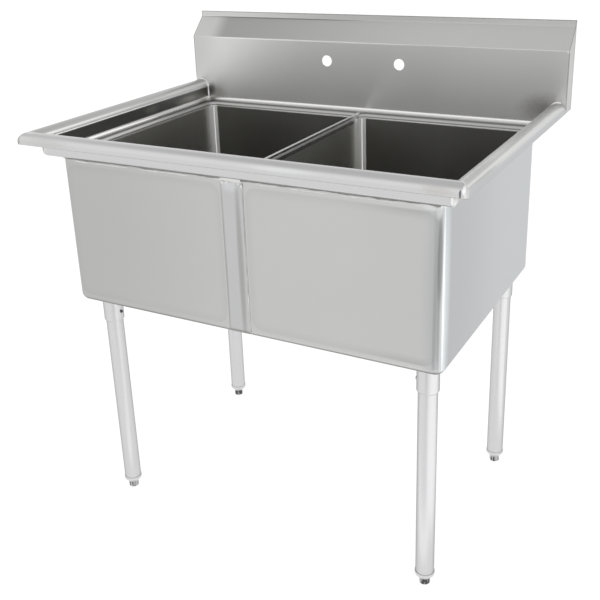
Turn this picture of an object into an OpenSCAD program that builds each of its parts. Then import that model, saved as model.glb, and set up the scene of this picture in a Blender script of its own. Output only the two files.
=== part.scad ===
// Two-bowl scullery sink on four tubular legs, in formed stainless steel sheet.
// Millimetres. +X is to the right, +Y to the back, +Z up. The origin lies on the
// floor, midway across the rim and midway from the front roll to the wall plane.

/* [Bowls] */
// Inside width of each bowl, side to side
bowl_w = 454.6; // [320:0.1:600]
// Inside length of each bowl, front to back
bowl_l = 609.6; // [400:0.1:700]
// Inside depth of each bowl below the deck
bowl_h = 360; // [200:1:400]
// Thickness of the sheet that the panels are formed from
sheet = 1.6; // [1.2:0.1:2]
// Inside radius of each upright bowl corner
corner_r = 21; // [16:0.5:40]
// How much smaller the radius is where the walls meet the floor
floor_r_less = 3; // [1:0.5:10]
// Space between the two bowls at the divider
bowl_gap = 2; // [1:0.5:6]

/* [Rim] */
// Height of the deck above the floor
deck_h = 914.4; // [850:0.1:1000]
// Outside radius of the roll round the front and sides
roll_r = 19.05; // [12:0.05:25]
// Height of the roll's centre above the deck
roll_rise = 37.6; // [28:0.1:50]
// Length of the roll's outer lip below its centre
lip_drop = 5.6; // [2:0.1:12]
// Radius of the cove where an upright meets the deck
cove_r = 9.5; // [4:0.1:12]
// Flat strip of deck between a cove and the edge of a bowl
deck_flat = 1.6; // [1:0.1:40]
// Radius over which the deck turns down into a bowl
edge_r = 14.3; // [8:0.1:19]

/* [Divider] */
// Thickness of the sheet of the cap over the divider
cap_t = 1.2; // [0.8:0.1:1.6]
// Height of the cap's sides, from the deck down
cap_h = 20; // [16:0.5:40]
// How far the strip at the front laps past each side of the groove between the bowls
strip_lap = 1.8; // [0.5:0.1:15]
// Height of the strip's lower end above the underside of the bowls
strip_lift = 9; // [2:0.5:60]

/* [Backsplash] */
// Height of the upright face above the deck
splash_h = 176.2; // [120:0.1:260]
// Depth from the upright face to the wall plane
splash_d = 50.8; // [25:0.1:80]
// Height of the upright edge along the top
top_edge_h = 14.3; // [6:0.1:30]
// Inside radius of the bends
bend_r = 1.6; // [0.8:0.1:3]
// Distance between the two faucet holes, centre to centre
faucet_pitch = 203.2; // [100:0.1:250]
// Height of the faucet holes above the deck
faucet_h = 125.4; // [70:0.1:140]
// Diameter of the faucet holes
faucet_hole_d = 28.6; // [20:0.1:36]

/* [Legs] */
// Outside diameter of the leg tubes
leg_d = 41.3; // [36:0.1:46]
// Wall of the leg tubes
leg_wall = 1.6; // [1.2:0.1:2.5]
// Distance from the outer side of a bowl in to the leg's axis
leg_side_in = 50.3; // [40:0.1:90]
// Distance from the front of a bowl back to the front leg's axis
leg_front_in = 59.8; // [40:0.1:120]
// Distance from the back of a bowl forward to the rear leg's axis
leg_rear_in = 33.3; // [30:0.1:120]
// Width of the square plate under the bowl that carries a socket
gusset_w = 76.2; // [60:0.1:110]
// Thickness of that plate
gusset_t = 2; // [1.5:0.1:4]
// Length of the socket that holds the top of a leg
socket_l = 64; // [45:0.5:90]
// Wall of the socket
socket_wall = 3; // [2:0.1:4]
// Clearance all round the leg in its socket
socket_clear = 0.15; // [0.05:0.05:0.4]
// Length of the taper at the socket's lower end
socket_taper_l = 3; // [1:0.5:6]
// Height of the set screw above the socket's lower end
screw_up = 24; // [10:0.5:34]
// Diameter of the set screw
screw_d = 8; // [5:0.5:10]
// Size of the set screw's hexagonal recess, across its flats
screw_key = 4; // [2:0.5:4]
// Length of set screw left standing out of the socket
screw_out = 2.2; // [1:0.1:5]

/* [Feet] */
// Height of the hexagonal foot, from the floor to its insert
foot_h = 17; // [12:0.5:30]
// Distance across the foot's flats
foot_flats = 22.2; // [18:0.1:27]
// Radius of the foot's flat underside
foot_pad_r = 7; // [4:0.5:8]
// Height over which the foot's lower end rounds off
foot_round_h = 5.5; // [3:0.5:8]
// Diameter of the foot's stem
stem_d = 15.9; // [10:0.1:18]
// Length of the stem above the foot
stem_l = 52; // [35:1:60]
// Diameter of the insert's collar under the leg
collar_d = 44; // [43:0.1:50]
// Height of that collar
collar_h = 7; // [3:0.5:15]
// Height of the taper below the collar
taper_h = 10; // [5:0.5:20]
// Diameter at the lower end of the taper
taper_d = 27; // [24:0.5:36]
// Length of the insert's plug inside the leg
plug_l = 45; // [30:1:60]
// Clearance round the stem in its insert
stem_clear = 0.3; // [0.2:0.05:0.5]

/* [Drains] */
// Diameter of the strainer body
drain_d = 88.9; // [84:0.1:92]
// Clearance all round the strainer body in the hole in the bowl's floor
drain_clear = 0.8; // [0.4:0.1:1.5]
// Wall of the strainer body
drain_wall = 2; // [1.5:0.1:2.5]
// Diameter of the flange that lies on the bowl's floor
flange_d = 114.3; // [105:0.1:125]
// Thickness of that flange
flange_t = 2; // [1:0.1:3]
// Depth of the wide, threaded part of the body below the bowl's floor
thread_h = 30; // [22:0.5:40]
// Depth of the whole body below the bowl's floor
drain_h = 52; // [45:0.5:60]
// Outside diameter of the outlet
outlet_d = 47.8; // [40:0.1:50]
// Length of the outlet
outlet_l = 24; // [15:0.5:40]
// Wall of the outlet
outlet_wall = 3.4; // [2:0.1:5]
// Thickness of the gasket under the bowl's floor
gasket_t = 3; // [2:0.1:5]
// Diameter of the gasket
gasket_d = 112; // [100:0.5:120]
// Thickness of the locknut
locknut_t = 10; // [6:0.5:14]
// Diameter of the locknut inside its lugs
locknut_d = 106; // [98:0.5:115]
// Number of lugs on the locknut
lug_count = 6; // [4:1:10]
// Width of each lug, and how far it stands out of the locknut
lug_size = 7; // [4:0.5:12]
// Depth of the ledge that the basket's rim sits on, below the flange's top
ledge_depth = 10; // [6:0.5:14]
// Width of that ledge
ledge_w = 3; // [2.5:0.1:4]
// Depth of the basket below its rim
basket_h = 32; // [20:1:36]
// Thickness of the basket's sheet
basket_t = 1.2; // [0.8:0.1:2]
// Clearance round the basket's cup
basket_clear = 0.8; // [0.5:0.1:1.5]
// Diameter of the holes in the basket's floor
basket_hole_d = 5; // [3:0.5:6]
// Diameter of the inner ring of those holes
inner_ring_d = 29.4; // [24:0.1:34]
// Number of holes in the inner ring
inner_ring_count = 8; // [4:1:10]
// Diameter of the outer ring of holes
outer_ring_d = 55.6; // [50:0.1:60]
// Number of holes in the outer ring
outer_ring_count = 14; // [6:1:20]
// Diameter of the basket's post
post_d = 6; // [4:0.5:9]
// Diameter of the basket's knob
knob_d = 18; // [12:0.5:24]
// Height of the knob's centre above the basket's rim
knob_up = 18; // [12:0.5:26]

/* [Hidden] */
$fn = 96;

// How far a cutting shape runs past the piece it cuts
past = 1;

LEFT = -1;
RIGHT = 1;
FRONT = -1;
REAR = 1;

// Colours
bright_steel = "#c9cac8";
satin_steel = "#b9bab8";
shaded_steel = "#8d8c89";
dark_steel = "#77777a";
black_rubber = "#2b2b2b";

// Plan of the rim: the roll, its cove and the strip of deck, then the bowl's edge
roll_w = 2 * roll_r;
cove_end = roll_w + cove_r;
rim_margin = cove_end + deck_flat + edge_r;
rear_ledge = cove_r + deck_flat + edge_r;

// Plan of the bowls, their divider and the strip in front of it
floor_r = corner_r - floor_r_less;
divider_face = bowl_gap / 2 + sheet;
cap_w = 2 * (divider_face + cap_t);
strip_w = 2 * (divider_face + corner_r + strip_lap);
bowl_side = divider_face + bowl_w;
half_w = bowl_side + rim_margin;
overall_d = rim_margin + bowl_l + rear_ledge + splash_d;
y_front = -overall_d / 2;
y_bowl_front = y_front + rim_margin;
y_bowl_rear = y_bowl_front + bowl_l;
y_splash = y_bowl_rear + rear_ledge;
y_bowl_mid = (y_bowl_front + y_bowl_rear) / 2;
x_bowl_mid = divider_face + bowl_w / 2;

// Heights
bowl_floor_z = deck_h - bowl_h;
bowl_under_z = bowl_floor_z - sheet;
lip_z = roll_rise - lip_drop;

// Backsplash: the sloped return rises as far as it runs between the faces that show
splash_run = splash_d - sheet;
slope_a = 45;
half_bend = tan(slope_a / 2);
bend_steps = 4;
outer_bend_r = bend_r + sheet;
top_z = splash_h + splash_run + top_edge_h;

// Legs, from the floor up
taper_z = foot_h;
collar_z = taper_z + taper_h;
leg_z = collar_z + collar_h;
leg_top_z = bowl_under_z - gusset_t;
socket_z = leg_top_z - socket_l;
socket_r = leg_d / 2 + socket_clear + socket_wall;
socket_low_r = socket_r - socket_wall / 2;
leg_x = bowl_side + sheet - leg_side_in;
leg_y_front = y_bowl_front - sheet + leg_front_in;
leg_y_rear = y_bowl_rear + sheet - leg_rear_in;

// Drains
drain_r = drain_d / 2;
drain_hole_d = drain_d + 2 * drain_clear;
drain_in_r = drain_r - drain_wall;
ledge_in_r = drain_in_r - ledge_w;
ledge_z = flange_t - ledge_depth;
cup_r = ledge_in_r - basket_clear;

// Shapes

// Part of a flat ring between two angles less than 180 degrees apart
module ring_part(r_in, r_out, a_from, a_to) {
    a_mid = (a_from + a_to) / 2;
    reach = 2 * r_out;
    intersection() {
        difference() {
            circle(r_out);
            circle(r_in);
        }
        polygon([
            [0, 0],
            reach * [cos(a_from), sin(a_from)],
            reach * [cos(a_mid), sin(a_mid)],
            reach * [cos(a_to), sin(a_to)]
        ]);
    }
}

// Rectangle with round corners, from its lower left corner
module round_rect(size, r) {
    translate([r, 0])
        square([size.x - 2 * r, size.y]);
    translate([0, r])
        square([size.x, size.y - 2 * r]);
    for (x = [r, size.x - r], y = [r, size.y - r])
        translate([x, y])
            circle(r);
}

// Sections, with height measured from the deck

// Roll, inner wall and cove, measured inwards from the rim's outer edge
module rim_section() {
    translate([roll_r, roll_rise])
        ring_part(roll_r - sheet, roll_r, 0, 90);
    translate([roll_r, roll_rise])
        ring_part(roll_r - sheet, roll_r, 90, 180);
    translate([0, lip_z])
        square([sheet, lip_drop]);
    translate([roll_w - sheet, cove_r])
        square([sheet, roll_rise - cove_r]);
    translate([cove_end, cove_r])
        ring_part(cove_r, cove_r + sheet, 180, 270);
}

// Wall of a bowl and its turn into the floor, outwards from the wall's inner face
module wall_section(top) {
    translate([0, floor_r - bowl_h])
        square([sheet, bowl_h - floor_r - top]);
    translate([-floor_r, floor_r - bowl_h])
        ring_part(floor_r, floor_r + sheet, 270, 360);
}

// Edge where the deck turns down into a bowl
module edge_section() {
    translate([edge_r, -edge_r])
        ring_part(edge_r - sheet, edge_r, 90, 180);
}

// Points along an arc, from one angle to another
function arc(centre, r, from, to) = [
    for (i = [0:bend_steps])
        let (a = from + (to - from) * i / bend_steps)
            centre + r * [cos(a), sin(a)]
];

// Upright, sloped return and top edge of the backsplash, backwards from its face
module splash_section() {
    low_bend = [outer_bend_r, splash_h - outer_bend_r * half_bend];
    high_bend = [splash_run - bend_r, splash_h + splash_run + bend_r * half_bend];
    polygon(concat(
        [[0, lip_z]],
        arc(low_bend, outer_bend_r, 180, 180 - slope_a),
        arc(high_bend, bend_r, -slope_a, 0),
        [[splash_run, top_z], [splash_d, top_z]],
        arc(high_bend, outer_bend_r, 0, -slope_a),
        arc(low_bend, bend_r, 180 - slope_a, 180),
        [[sheet, lip_z]]
    ));
}

// Plan of the deck inside the coves, open over both bowls
module deck_plan() {
    opening = [bowl_w + 2 * edge_r, bowl_l + 2 * edge_r];
    difference() {
        translate([cove_end - half_w, y_front + cove_end])
            square([2 * (half_w - cove_end), y_splash - cove_r - y_front - cove_end]);
        for (x = [divider_face, -bowl_side])
            translate([x - edge_r, y_bowl_front - edge_r])
                round_rect(opening, corner_r + edge_r);
    }
    // tongues that reach the divider's cap
    for (y = [y_bowl_front - edge_r - deck_flat, y_bowl_rear])
        translate([-cap_w / 2, y])
            square([cap_w, edge_r + deck_flat]);
}

// Plans of the regions that the mitres give to each rim
module front_region() {
    polygon([[-half_w, y_front], [half_w, y_front], [0, y_front + half_w]]);
}

module left_region() {
    reach = (y_splash - y_front + roll_w) / 2;
    polygon([
        [-half_w, y_front],
        [reach - half_w, y_front + reach],
        [roll_w - half_w, y_splash],
        [-half_w, y_splash]
    ]);
}

// Deck-high prism over one region, for cutting rolls and coves to their mitres
module over_region() {
    translate([0, 0, deck_h - 2 * sheet])
        linear_extrude(roll_rise + roll_r + 4 * sheet)
            children();
}

// Bars of a section along X, and along Y, from the left and front corner of the rim
module along_x(length) {
    rotate([90, 0, 90])
        linear_extrude(length)
            children();
}

module along_y(length) {
    translate([0, length, 0])
        rotate([90, 0, 0])
            linear_extrude(length)
                children();
}

// Sub-parts

module deck() {
    color(bright_steel)
        translate([0, 0, deck_h - sheet])
            linear_extrude(sheet)
                deck_plan();
}

module front_rim() {
    color(bright_steel)
        intersection() {
            translate([-half_w, y_front, deck_h])
                along_x(2 * half_w)
                    rim_section();
            over_region()
                front_region();
        }
}

module side_rim() {
    color(bright_steel)
        intersection() {
            translate([-half_w, y_front, deck_h])
                along_y(y_splash - y_front)
                    rim_section();
            over_region()
                left_region();
        }
}

module left_rim() {
    side_rim();
}

module right_rim() {
    mirror([1, 0, 0])
        side_rim();
}

// Round corner of a bowl about its own axis, from the deck down
module bowl_corner_wall(top) {
    rotate_extrude(angle = 90) {
        translate([corner_r, 0])
            wall_section(top);
        translate([0, -bowl_h - sheet])
            square([corner_r - floor_r, sheet]);
    }
}

module bowl_corner_edge() {
    rotate_extrude(angle = 90)
        translate([corner_r, 0])
            edge_section();
}

// Bowl on the right of the divider, with its drain hole
module bowl() {
    straight_w = bowl_w - 2 * corner_r;
    straight_l = bowl_l - 2 * corner_r;
    wall_in = divider_face + corner_r;
    wall_out = bowl_side - corner_r;
    from_front = y_bowl_front + corner_r;
    from_rear = y_bowl_rear - corner_r;
    color(satin_steel) {
        // floor
        difference() {
            translate([0, 0, bowl_under_z])
                linear_extrude(sheet)
                    union() {
                        translate([divider_face + floor_r, from_front])
                            square([bowl_w - 2 * floor_r, straight_l]);
                        translate([wall_in, y_bowl_front + floor_r])
                            square([straight_w, bowl_l - 2 * floor_r]);
                    }
            translate([x_bowl_mid, y_bowl_mid, bowl_under_z - sheet])
                cylinder(d = drain_hole_d, h = 3 * sheet);
        }
        // outer side
        translate([bowl_side, from_front, deck_h])
            along_y(straight_l) {
                wall_section(edge_r);
                edge_section();
            }
        // divider side
        translate([divider_face, from_front, deck_h])
            mirror([1, 0, 0])
                along_y(straight_l)
                    wall_section(cap_t);
        // back
        translate([wall_in, y_bowl_rear, deck_h])
            along_x(straight_w) {
                wall_section(edge_r);
                edge_section();
            }
        // front
        translate([wall_in, y_bowl_front, deck_h])
            mirror([0, 1, 0])
                along_x(straight_w) {
                    wall_section(edge_r);
                    edge_section();
                }
        // outer corners
        translate([wall_out, from_rear, deck_h]) {
            bowl_corner_wall(edge_r);
            bowl_corner_edge();
        }
        translate([wall_out, from_front, deck_h])
            mirror([0, 1, 0]) {
                bowl_corner_wall(edge_r);
                bowl_corner_edge();
            }
        // corners at the divider, trimmed to meet the cap
        divider_corner(wall_in, from_rear, REAR);
        divider_corner(wall_in, from_front, FRONT);
    }
}

module divider_corner(x, y, side) {
    translate([x, y, deck_h])
        facing(side)
            mirror([1, 0, 0])
                bowl_corner_wall(edge_r);
    intersection() {
        translate([x, y, deck_h])
            facing(side)
                mirror([1, 0, 0])
                    bowl_corner_edge();
        translate([cap_w / 2, y_front, deck_h - edge_r - sheet])
            cube([bowl_w, overall_d, edge_r + 2 * sheet]);
    }
}

// Mirrors its children towards the front where asked
module facing(side) {
    if (side == FRONT)
        mirror([0, 1, 0])
            children();
    else
        children();
}

module right_bowl() {
    bowl();
}

module left_bowl() {
    mirror([1, 0, 0])
        bowl();
}

// Folded cap over the two bowl walls, closed at both ends where the corners begin
module divider_cap() {
    color(bright_steel) {
        translate([0, y_bowl_front + corner_r, deck_h])
            along_y(bowl_l - 2 * corner_r) {
                translate([-cap_w / 2, -cap_t])
                    square([cap_w, cap_t]);
                for (x = [-cap_w / 2, divider_face])
                    translate([x, -cap_h])
                        square([cap_t, cap_h - cap_t]);
            }
        for (y = [y_bowl_front, y_bowl_rear - corner_r])
            translate([-cap_w / 2, y, deck_h - edge_r])
                cube([cap_w, corner_r, edge_r]);
    }
}

module front_seam_strip() {
    from_z = bowl_under_z + strip_lift;
    color(bright_steel)
        translate([-strip_w / 2, y_bowl_front - 2 * sheet, from_z])
            cube([strip_w, sheet, deck_h - edge_r - from_z]);
}

module backsplash() {
    color(satin_steel) {
        difference() {
            union() {
                translate([-half_w, y_splash, deck_h])
                    along_x(2 * half_w)
                        splash_section();
                // lower part, between the rolls
                translate([roll_w - sheet - half_w, y_splash, deck_h + cove_r])
                    cube([2 * (half_w - roll_w + sheet), sheet, lip_z - cove_r]);
            }
            for (x = [-faucet_pitch / 2, faucet_pitch / 2])
                translate([x, y_splash - sheet, deck_h + faucet_h])
                    rotate([-90, 0, 0])
                        cylinder(d = faucet_hole_d, h = 3 * sheet);
        }
        // cove, cut to its mitres
        difference() {
            translate([roll_w - half_w, y_splash - cove_r, deck_h + cove_r])
                along_x(2 * (half_w - roll_w))
                    ring_part(cove_r, cove_r + sheet, 270, 360);
            for (side = [LEFT, RIGHT])
                translate([side * (half_w - roll_w), y_splash, deck_h - 2 * sheet])
                    rotate([0, 0, side * 45])
                        translate([-cove_end, -cove_end, 0])
                            cube([2 * cove_end, cove_end, cove_r + 4 * sheet]);
        }
    }
}

// Plate that closes one end of the backsplash, behind its sheet
module end_cap(side) {
    slope_z = splash_h - sheet * half_bend;
    x = side == LEFT ? -half_w : half_w - sheet;
    color(satin_steel)
        translate([x, y_splash, deck_h])
            along_x(sheet)
                difference() {
                    polygon([
                        [sheet, lip_z],
                        [splash_d, lip_z],
                        [splash_d, slope_z + splash_run],
                        [sheet, slope_z]
                    ]);
                    splash_section();
                }
}

// Square plate under a bowl, kept to the flat of its floor
module gusset(side, end) {
    flat_in = divider_face + floor_r;
    flat_out = bowl_side - floor_r;
    color(shaded_steel)
        translate([0, 0, leg_top_z])
            linear_extrude(gusset_t)
                intersection() {
                    translate([side * leg_x - gusset_w / 2, leg_y(end) - gusset_w / 2])
                        square(gusset_w);
                    translate([side == LEFT ? -flat_out : flat_in, y_bowl_front + floor_r])
                        square([flat_out - flat_in, bowl_l - 2 * floor_r]);
                }
}

function leg_y(end) = end == FRONT ? leg_y_front : leg_y_rear;

module at_leg(side, end, z) {
    translate([side * leg_x, leg_y(end), z])
        children();
}

// Turns a set screw's axis from the leg towards the middle of the sink
module towards_middle(side) {
    rotate([0, side == LEFT ? 90 : -90, 0])
        children();
}

module socket(side, end) {
    color(bright_steel)
        at_leg(side, end, socket_z)
            difference() {
                union() {
                    cylinder(r1 = socket_low_r, r2 = socket_r, h = socket_taper_l);
                    translate([0, 0, socket_taper_l])
                        cylinder(r = socket_r, h = socket_l - socket_taper_l);
                }
                translate([0, 0, -past])
                    cylinder(d = leg_d + 2 * socket_clear, h = socket_l + 2 * past);
                translate([0, 0, screw_up])
                    towards_middle(side)
                        cylinder(d = screw_d, h = 2 * socket_r);
            }
}

module socket_set_screws() {
    color(dark_steel)
        for (side = [LEFT, RIGHT], end = [FRONT, REAR])
            at_leg(side, end, socket_z + screw_up)
                towards_middle(side)
                    set_screw();
}

// Distance from a hexagon's centre to its corners
function hex_corner_r(flats) = flats / 2 / cos(30);

// Set screw with a hexagonal recess, from its tip on the leg
module set_screw() {
    length = socket_r + screw_out - leg_d / 2;
    translate([0, 0, leg_d / 2])
        difference() {
            cylinder(d = screw_d, h = length);
            translate([0, 0, length - screw_out])
                cylinder(r = hex_corner_r(screw_key), h = length, $fn = 6);
        }
}

module leg(side, end) {
    color(bright_steel)
        at_leg(side, end, leg_z)
            difference() {
                cylinder(d = leg_d, h = leg_top_z - leg_z);
                translate([0, 0, -past])
                    cylinder(d = leg_d - 2 * leg_wall, h = leg_top_z - leg_z + 2 * past);
            }
}

// Plug in the lower end of a leg, with the thread for the foot
module insert(side, end) {
    bore_d = stem_d + 2 * stem_clear;
    color(satin_steel)
        at_leg(side, end, taper_z)
            difference() {
                union() {
                    cylinder(d1 = taper_d, d2 = collar_d, h = taper_h);
                    translate([0, 0, taper_h])
                        cylinder(d = collar_d, h = collar_h);
                    translate([0, 0, taper_h + collar_h])
                        cylinder(d = leg_d - 2 * leg_wall, h = plug_l);
                }
                translate([0, 0, -past])
                    cylinder(d = bore_d, h = taper_h + collar_h + plug_l + 2 * past);
            }
}

// Bullet foot: a hexagon with a rounded lower end, and the stem that carries it
module foot(side, end) {
    corner = hex_corner_r(foot_flats);
    outside = corner + past;
    color(dark_steel)
        at_leg(side, end, 0) {
            intersection() {
                cylinder(r = corner, h = foot_h, $fn = 6);
                rotate_extrude() {
                    square([foot_pad_r, foot_h]);
                    translate([0, foot_round_h])
                        square([outside, foot_h - foot_round_h]);
                    intersection() {
                        translate([foot_pad_r, foot_round_h])
                            wide_round(outside - foot_pad_r, foot_round_h);
                        translate([foot_pad_r, 0])
                            square([outside, foot_round_h]);
                    }
                }
            }
            translate([0, 0, foot_h])
                cylinder(d = stem_d, h = stem_l);
        }
}

// Rounding that is wider than it is high, as the lower part of a larger circle
module wide_round(width, height) {
    r = (width * width + height * height) / (2 * height);
    translate([0, r - height])
        circle(r);
}

module at_drain(side) {
    translate([side * x_bowl_mid, y_bowl_mid, bowl_floor_z])
        children();
}

// Strainer body: flange on the floor, threaded barrel, ledge for the basket, outlet
module drain_body(side) {
    low_r = ledge_in_r + drain_wall;
    outlet_r = outlet_d / 2;
    color(bright_steel)
        at_drain(side)
            rotate_extrude()
                polygon([
                    [drain_in_r, flange_t],
                    [flange_d / 2 - flange_t, flange_t],
                    [flange_d / 2, 0],
                    [drain_r, 0],
                    [drain_r, -thread_h],
                    [low_r, -thread_h],
                    [low_r, -drain_h],
                    [outlet_r, -drain_h],
                    [outlet_r, -drain_h - outlet_l],
                    [outlet_r - outlet_wall, -drain_h - outlet_l],
                    [outlet_r - outlet_wall, drain_wall - drain_h],
                    [ledge_in_r, drain_wall - drain_h],
                    [ledge_in_r, ledge_z],
                    [drain_in_r, ledge_z]
                ]);
}

module drain_gasket(side) {
    color(black_rubber)
        at_drain(side)
            translate([0, 0, -sheet - gasket_t])
                difference() {
                    cylinder(d = gasket_d, h = gasket_t);
                    translate([0, 0, -past])
                        cylinder(d = drain_hole_d, h = gasket_t + 2 * past);
                }
}

module drain_locknut(side) {
    lug_root = lug_size / 2;
    color(dark_steel)
        at_drain(side)
            translate([0, 0, -sheet - gasket_t - locknut_t])
                difference() {
                    union() {
                        cylinder(d = locknut_d, h = locknut_t);
                        for (i = [1:lug_count])
                            rotate([0, 0, i * 360 / lug_count])
                                translate([locknut_d / 2 - lug_root, -lug_size / 2, 0])
                                    cube([lug_root + lug_size, lug_size, locknut_t]);
                    }
                    translate([0, 0, -past])
                        cylinder(d = drain_d, h = locknut_t + 2 * past);
                }
}

// Basket that lifts out of the strainer body by its knob
module basket(side) {
    rim_r = drain_in_r - basket_clear;
    hole_rings = [[inner_ring_d, inner_ring_count], [outer_ring_d, outer_ring_count]];
    color(bright_steel)
        at_drain(side)
            translate([0, 0, ledge_z]) {
                difference() {
                    rotate_extrude()
                        polygon([
                            [0, -basket_h],
                            [cup_r, -basket_h],
                            [cup_r, 0],
                            [rim_r, 0],
                            [rim_r, basket_t],
                            [cup_r - basket_t, basket_t],
                            [cup_r - basket_t, basket_t - basket_h],
                            [0, basket_t - basket_h]
                        ]);
                    for (ring = hole_rings, i = [1:ring[1]])
                        rotate([0, 0, i * 360 / ring[1]])
                            translate([ring[0] / 2, 0, -basket_h - past])
                                cylinder(d = basket_hole_d, h = basket_t + 2 * past);
                }
                translate([0, 0, basket_t - basket_h])
                    cylinder(d = post_d, h = basket_h + knob_up - basket_t);
                translate([0, 0, knob_up])
                    sphere(d = knob_d);
            }
}

left_bowl();
right_bowl();
deck();
front_rim();
left_rim();
right_rim();
backsplash();
end_cap(LEFT);  // left_end_cap
end_cap(RIGHT);  // right_end_cap
divider_cap();
front_seam_strip();
gusset(LEFT, FRONT);  // front_left_gusset
gusset(RIGHT, FRONT);  // front_right_gusset
gusset(LEFT, REAR);  // rear_left_gusset
gusset(RIGHT, REAR);  // rear_right_gusset
socket(LEFT, FRONT);  // front_left_socket
socket(RIGHT, FRONT);  // front_right_socket
socket(LEFT, REAR);  // rear_left_socket
socket(RIGHT, REAR);  // rear_right_socket
socket_set_screws();
leg(LEFT, FRONT);  // front_left_leg
leg(RIGHT, FRONT);  // front_right_leg
leg(LEFT, REAR);  // rear_left_leg
leg(RIGHT, REAR);  // rear_right_leg
insert(LEFT, FRONT);  // front_left_insert
insert(RIGHT, FRONT);  // front_right_insert
insert(LEFT, REAR);  // rear_left_insert
insert(RIGHT, REAR);  // rear_right_insert
foot(LEFT, FRONT);  // front_left_foot
foot(RIGHT, FRONT);  // front_right_foot
foot(LEFT, REAR);  // rear_left_foot
foot(RIGHT, REAR);  // rear_right_foot
drain_body(LEFT);  // left_drain_body
drain_body(RIGHT);  // right_drain_body
drain_gasket(LEFT);  // left_drain_gasket
drain_gasket(RIGHT);  // right_drain_gasket
drain_locknut(LEFT);  // left_drain_locknut
drain_locknut(RIGHT);  // right_drain_locknut
basket(LEFT);  // left_basket
basket(RIGHT);  // right_basket
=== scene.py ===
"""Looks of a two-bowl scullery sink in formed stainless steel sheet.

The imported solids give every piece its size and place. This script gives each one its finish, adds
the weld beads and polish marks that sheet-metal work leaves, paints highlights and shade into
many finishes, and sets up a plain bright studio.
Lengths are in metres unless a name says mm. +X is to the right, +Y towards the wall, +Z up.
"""

import logging
import math
from dataclasses import dataclass
from enum import Enum, IntEnum
from typing import Any, Callable, Sequence

import bpy
from mathutils import Matrix, Vector, noise


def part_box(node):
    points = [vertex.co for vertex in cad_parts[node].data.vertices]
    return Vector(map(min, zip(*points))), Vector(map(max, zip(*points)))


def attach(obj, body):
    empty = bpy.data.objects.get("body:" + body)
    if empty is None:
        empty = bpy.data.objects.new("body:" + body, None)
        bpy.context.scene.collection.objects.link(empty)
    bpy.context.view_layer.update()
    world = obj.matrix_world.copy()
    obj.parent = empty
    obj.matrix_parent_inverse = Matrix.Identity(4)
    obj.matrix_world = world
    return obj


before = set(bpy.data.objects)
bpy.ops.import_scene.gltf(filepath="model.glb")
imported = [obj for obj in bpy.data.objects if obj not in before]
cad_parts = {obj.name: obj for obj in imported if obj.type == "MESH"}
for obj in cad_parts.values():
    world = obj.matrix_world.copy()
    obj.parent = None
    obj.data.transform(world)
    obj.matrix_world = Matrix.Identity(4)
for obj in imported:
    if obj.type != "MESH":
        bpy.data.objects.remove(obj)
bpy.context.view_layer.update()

MM = 0.001
log = logging.getLogger("sink")

# A mix node repeats its sockets' names for each kind of data, so they are picked by number.
FACTOR, NUMBER_A, NUMBER_B, COLOUR_A, COLOUR_B = 0, 2, 3, 6, 7
MIXED_NUMBER, MIXED_COLOUR = 0, 2


class Named(Enum):
    """A choice whose name is part of the names of nodes and pieces."""

    @property
    def word(self) -> str:
        """The choice's name as node names use it."""
        return self.name.lower()


class Side(Named):
    """Which side of the middle plane a piece is on."""

    LEFT = -1
    RIGHT = 1


class End(Named):
    """Which end of the bowls a piece is at."""

    FRONT = -1
    REAR = 1


class Grain(Enum):
    """Which way the scratches of a brushed finish run."""

    ACROSS = (1, 0, 0)
    DEEP = (0, 1, 0)
    LEVEL = (1, 1, 0)


def linear(hex_colour: str, share: float = 1.0) -> tuple[float, float, float, float]:
    """Turns an sRGB hex colour to linear light.

    Args:
        hex_colour: six hex digits after a hash sign.
        share: how much of the colour's light is kept.

    Returns:
        Red, green, blue and an alpha of one.
    """
    parts = [int(hex_colour[i : i + 2], 16) / 255 for i in (1, 3, 5)]
    light = [p / 12.92 if p <= 0.04045 else ((p + 0.055) / 1.055) ** 2.4 for p in parts]
    red, green, blue = [min(1.0, part * share) for part in light]
    return (red, green, blue, 1.0)


def add_node(
    tree: bpy.types.NodeTree, kind: str, values: dict[str | int, Any] | None = None, **settings: Any
) -> bpy.types.Node:
    """Adds one node, sets it up and links it.

    Args:
        tree: the node tree to add to.
        kind: the node's type name, without the word ShaderNode in front of it.
        values: for each input socket, a number or colour to set or an output socket to link.
        settings: the node's own properties.

    Returns:
        The new node.
    """
    node = tree.nodes.new(f"ShaderNode{kind}")
    for name, value in settings.items():
        setattr(node, name, value)
    for socket, value in (values or {}).items():
        if isinstance(value, bpy.types.NodeSocket):
            tree.links.new(value, node.inputs[socket])
        else:
            node.inputs[socket].default_value = value
    return node


def new_material(name: str) -> tuple[bpy.types.Material, bpy.types.NodeTree, bpy.types.Node]:
    """Makes an empty node material.

    Args:
        name: the material's name.

    Returns:
        The material, its node tree and its output node.
    """
    material = bpy.data.materials.new(name)
    material.use_nodes = True
    tree = material.node_tree
    tree.nodes.clear()
    return material, tree, add_node(tree, "OutputMaterial")


def place_object(name: str, data: bpy.types.ID) -> bpy.types.Object:
    """Makes an object and puts it in the scene.

    Args:
        name: the object's name.
        data: its mesh or camera.

    Returns:
        The object.
    """
    placed = bpy.data.objects.new(name, data)
    bpy.context.scene.collection.objects.link(placed)
    return placed


def arc(first_deg: int, last_deg: int, step_deg: int) -> list[tuple[float, float]]:
    """Walks an arc in even steps, both ends with it.

    Args:
        first_deg: the angle that it starts at.
        last_deg: the angle that it ends at, a whole number of steps away.
        step_deg: the step, below zero where the angles fall.

    Returns:
        The cosine and the sine of each angle.
    """
    turns = [math.radians(deg) for deg in range(first_deg, last_deg + step_deg, step_deg)]
    return [(math.cos(turn), math.sin(turn)) for turn in turns]


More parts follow.
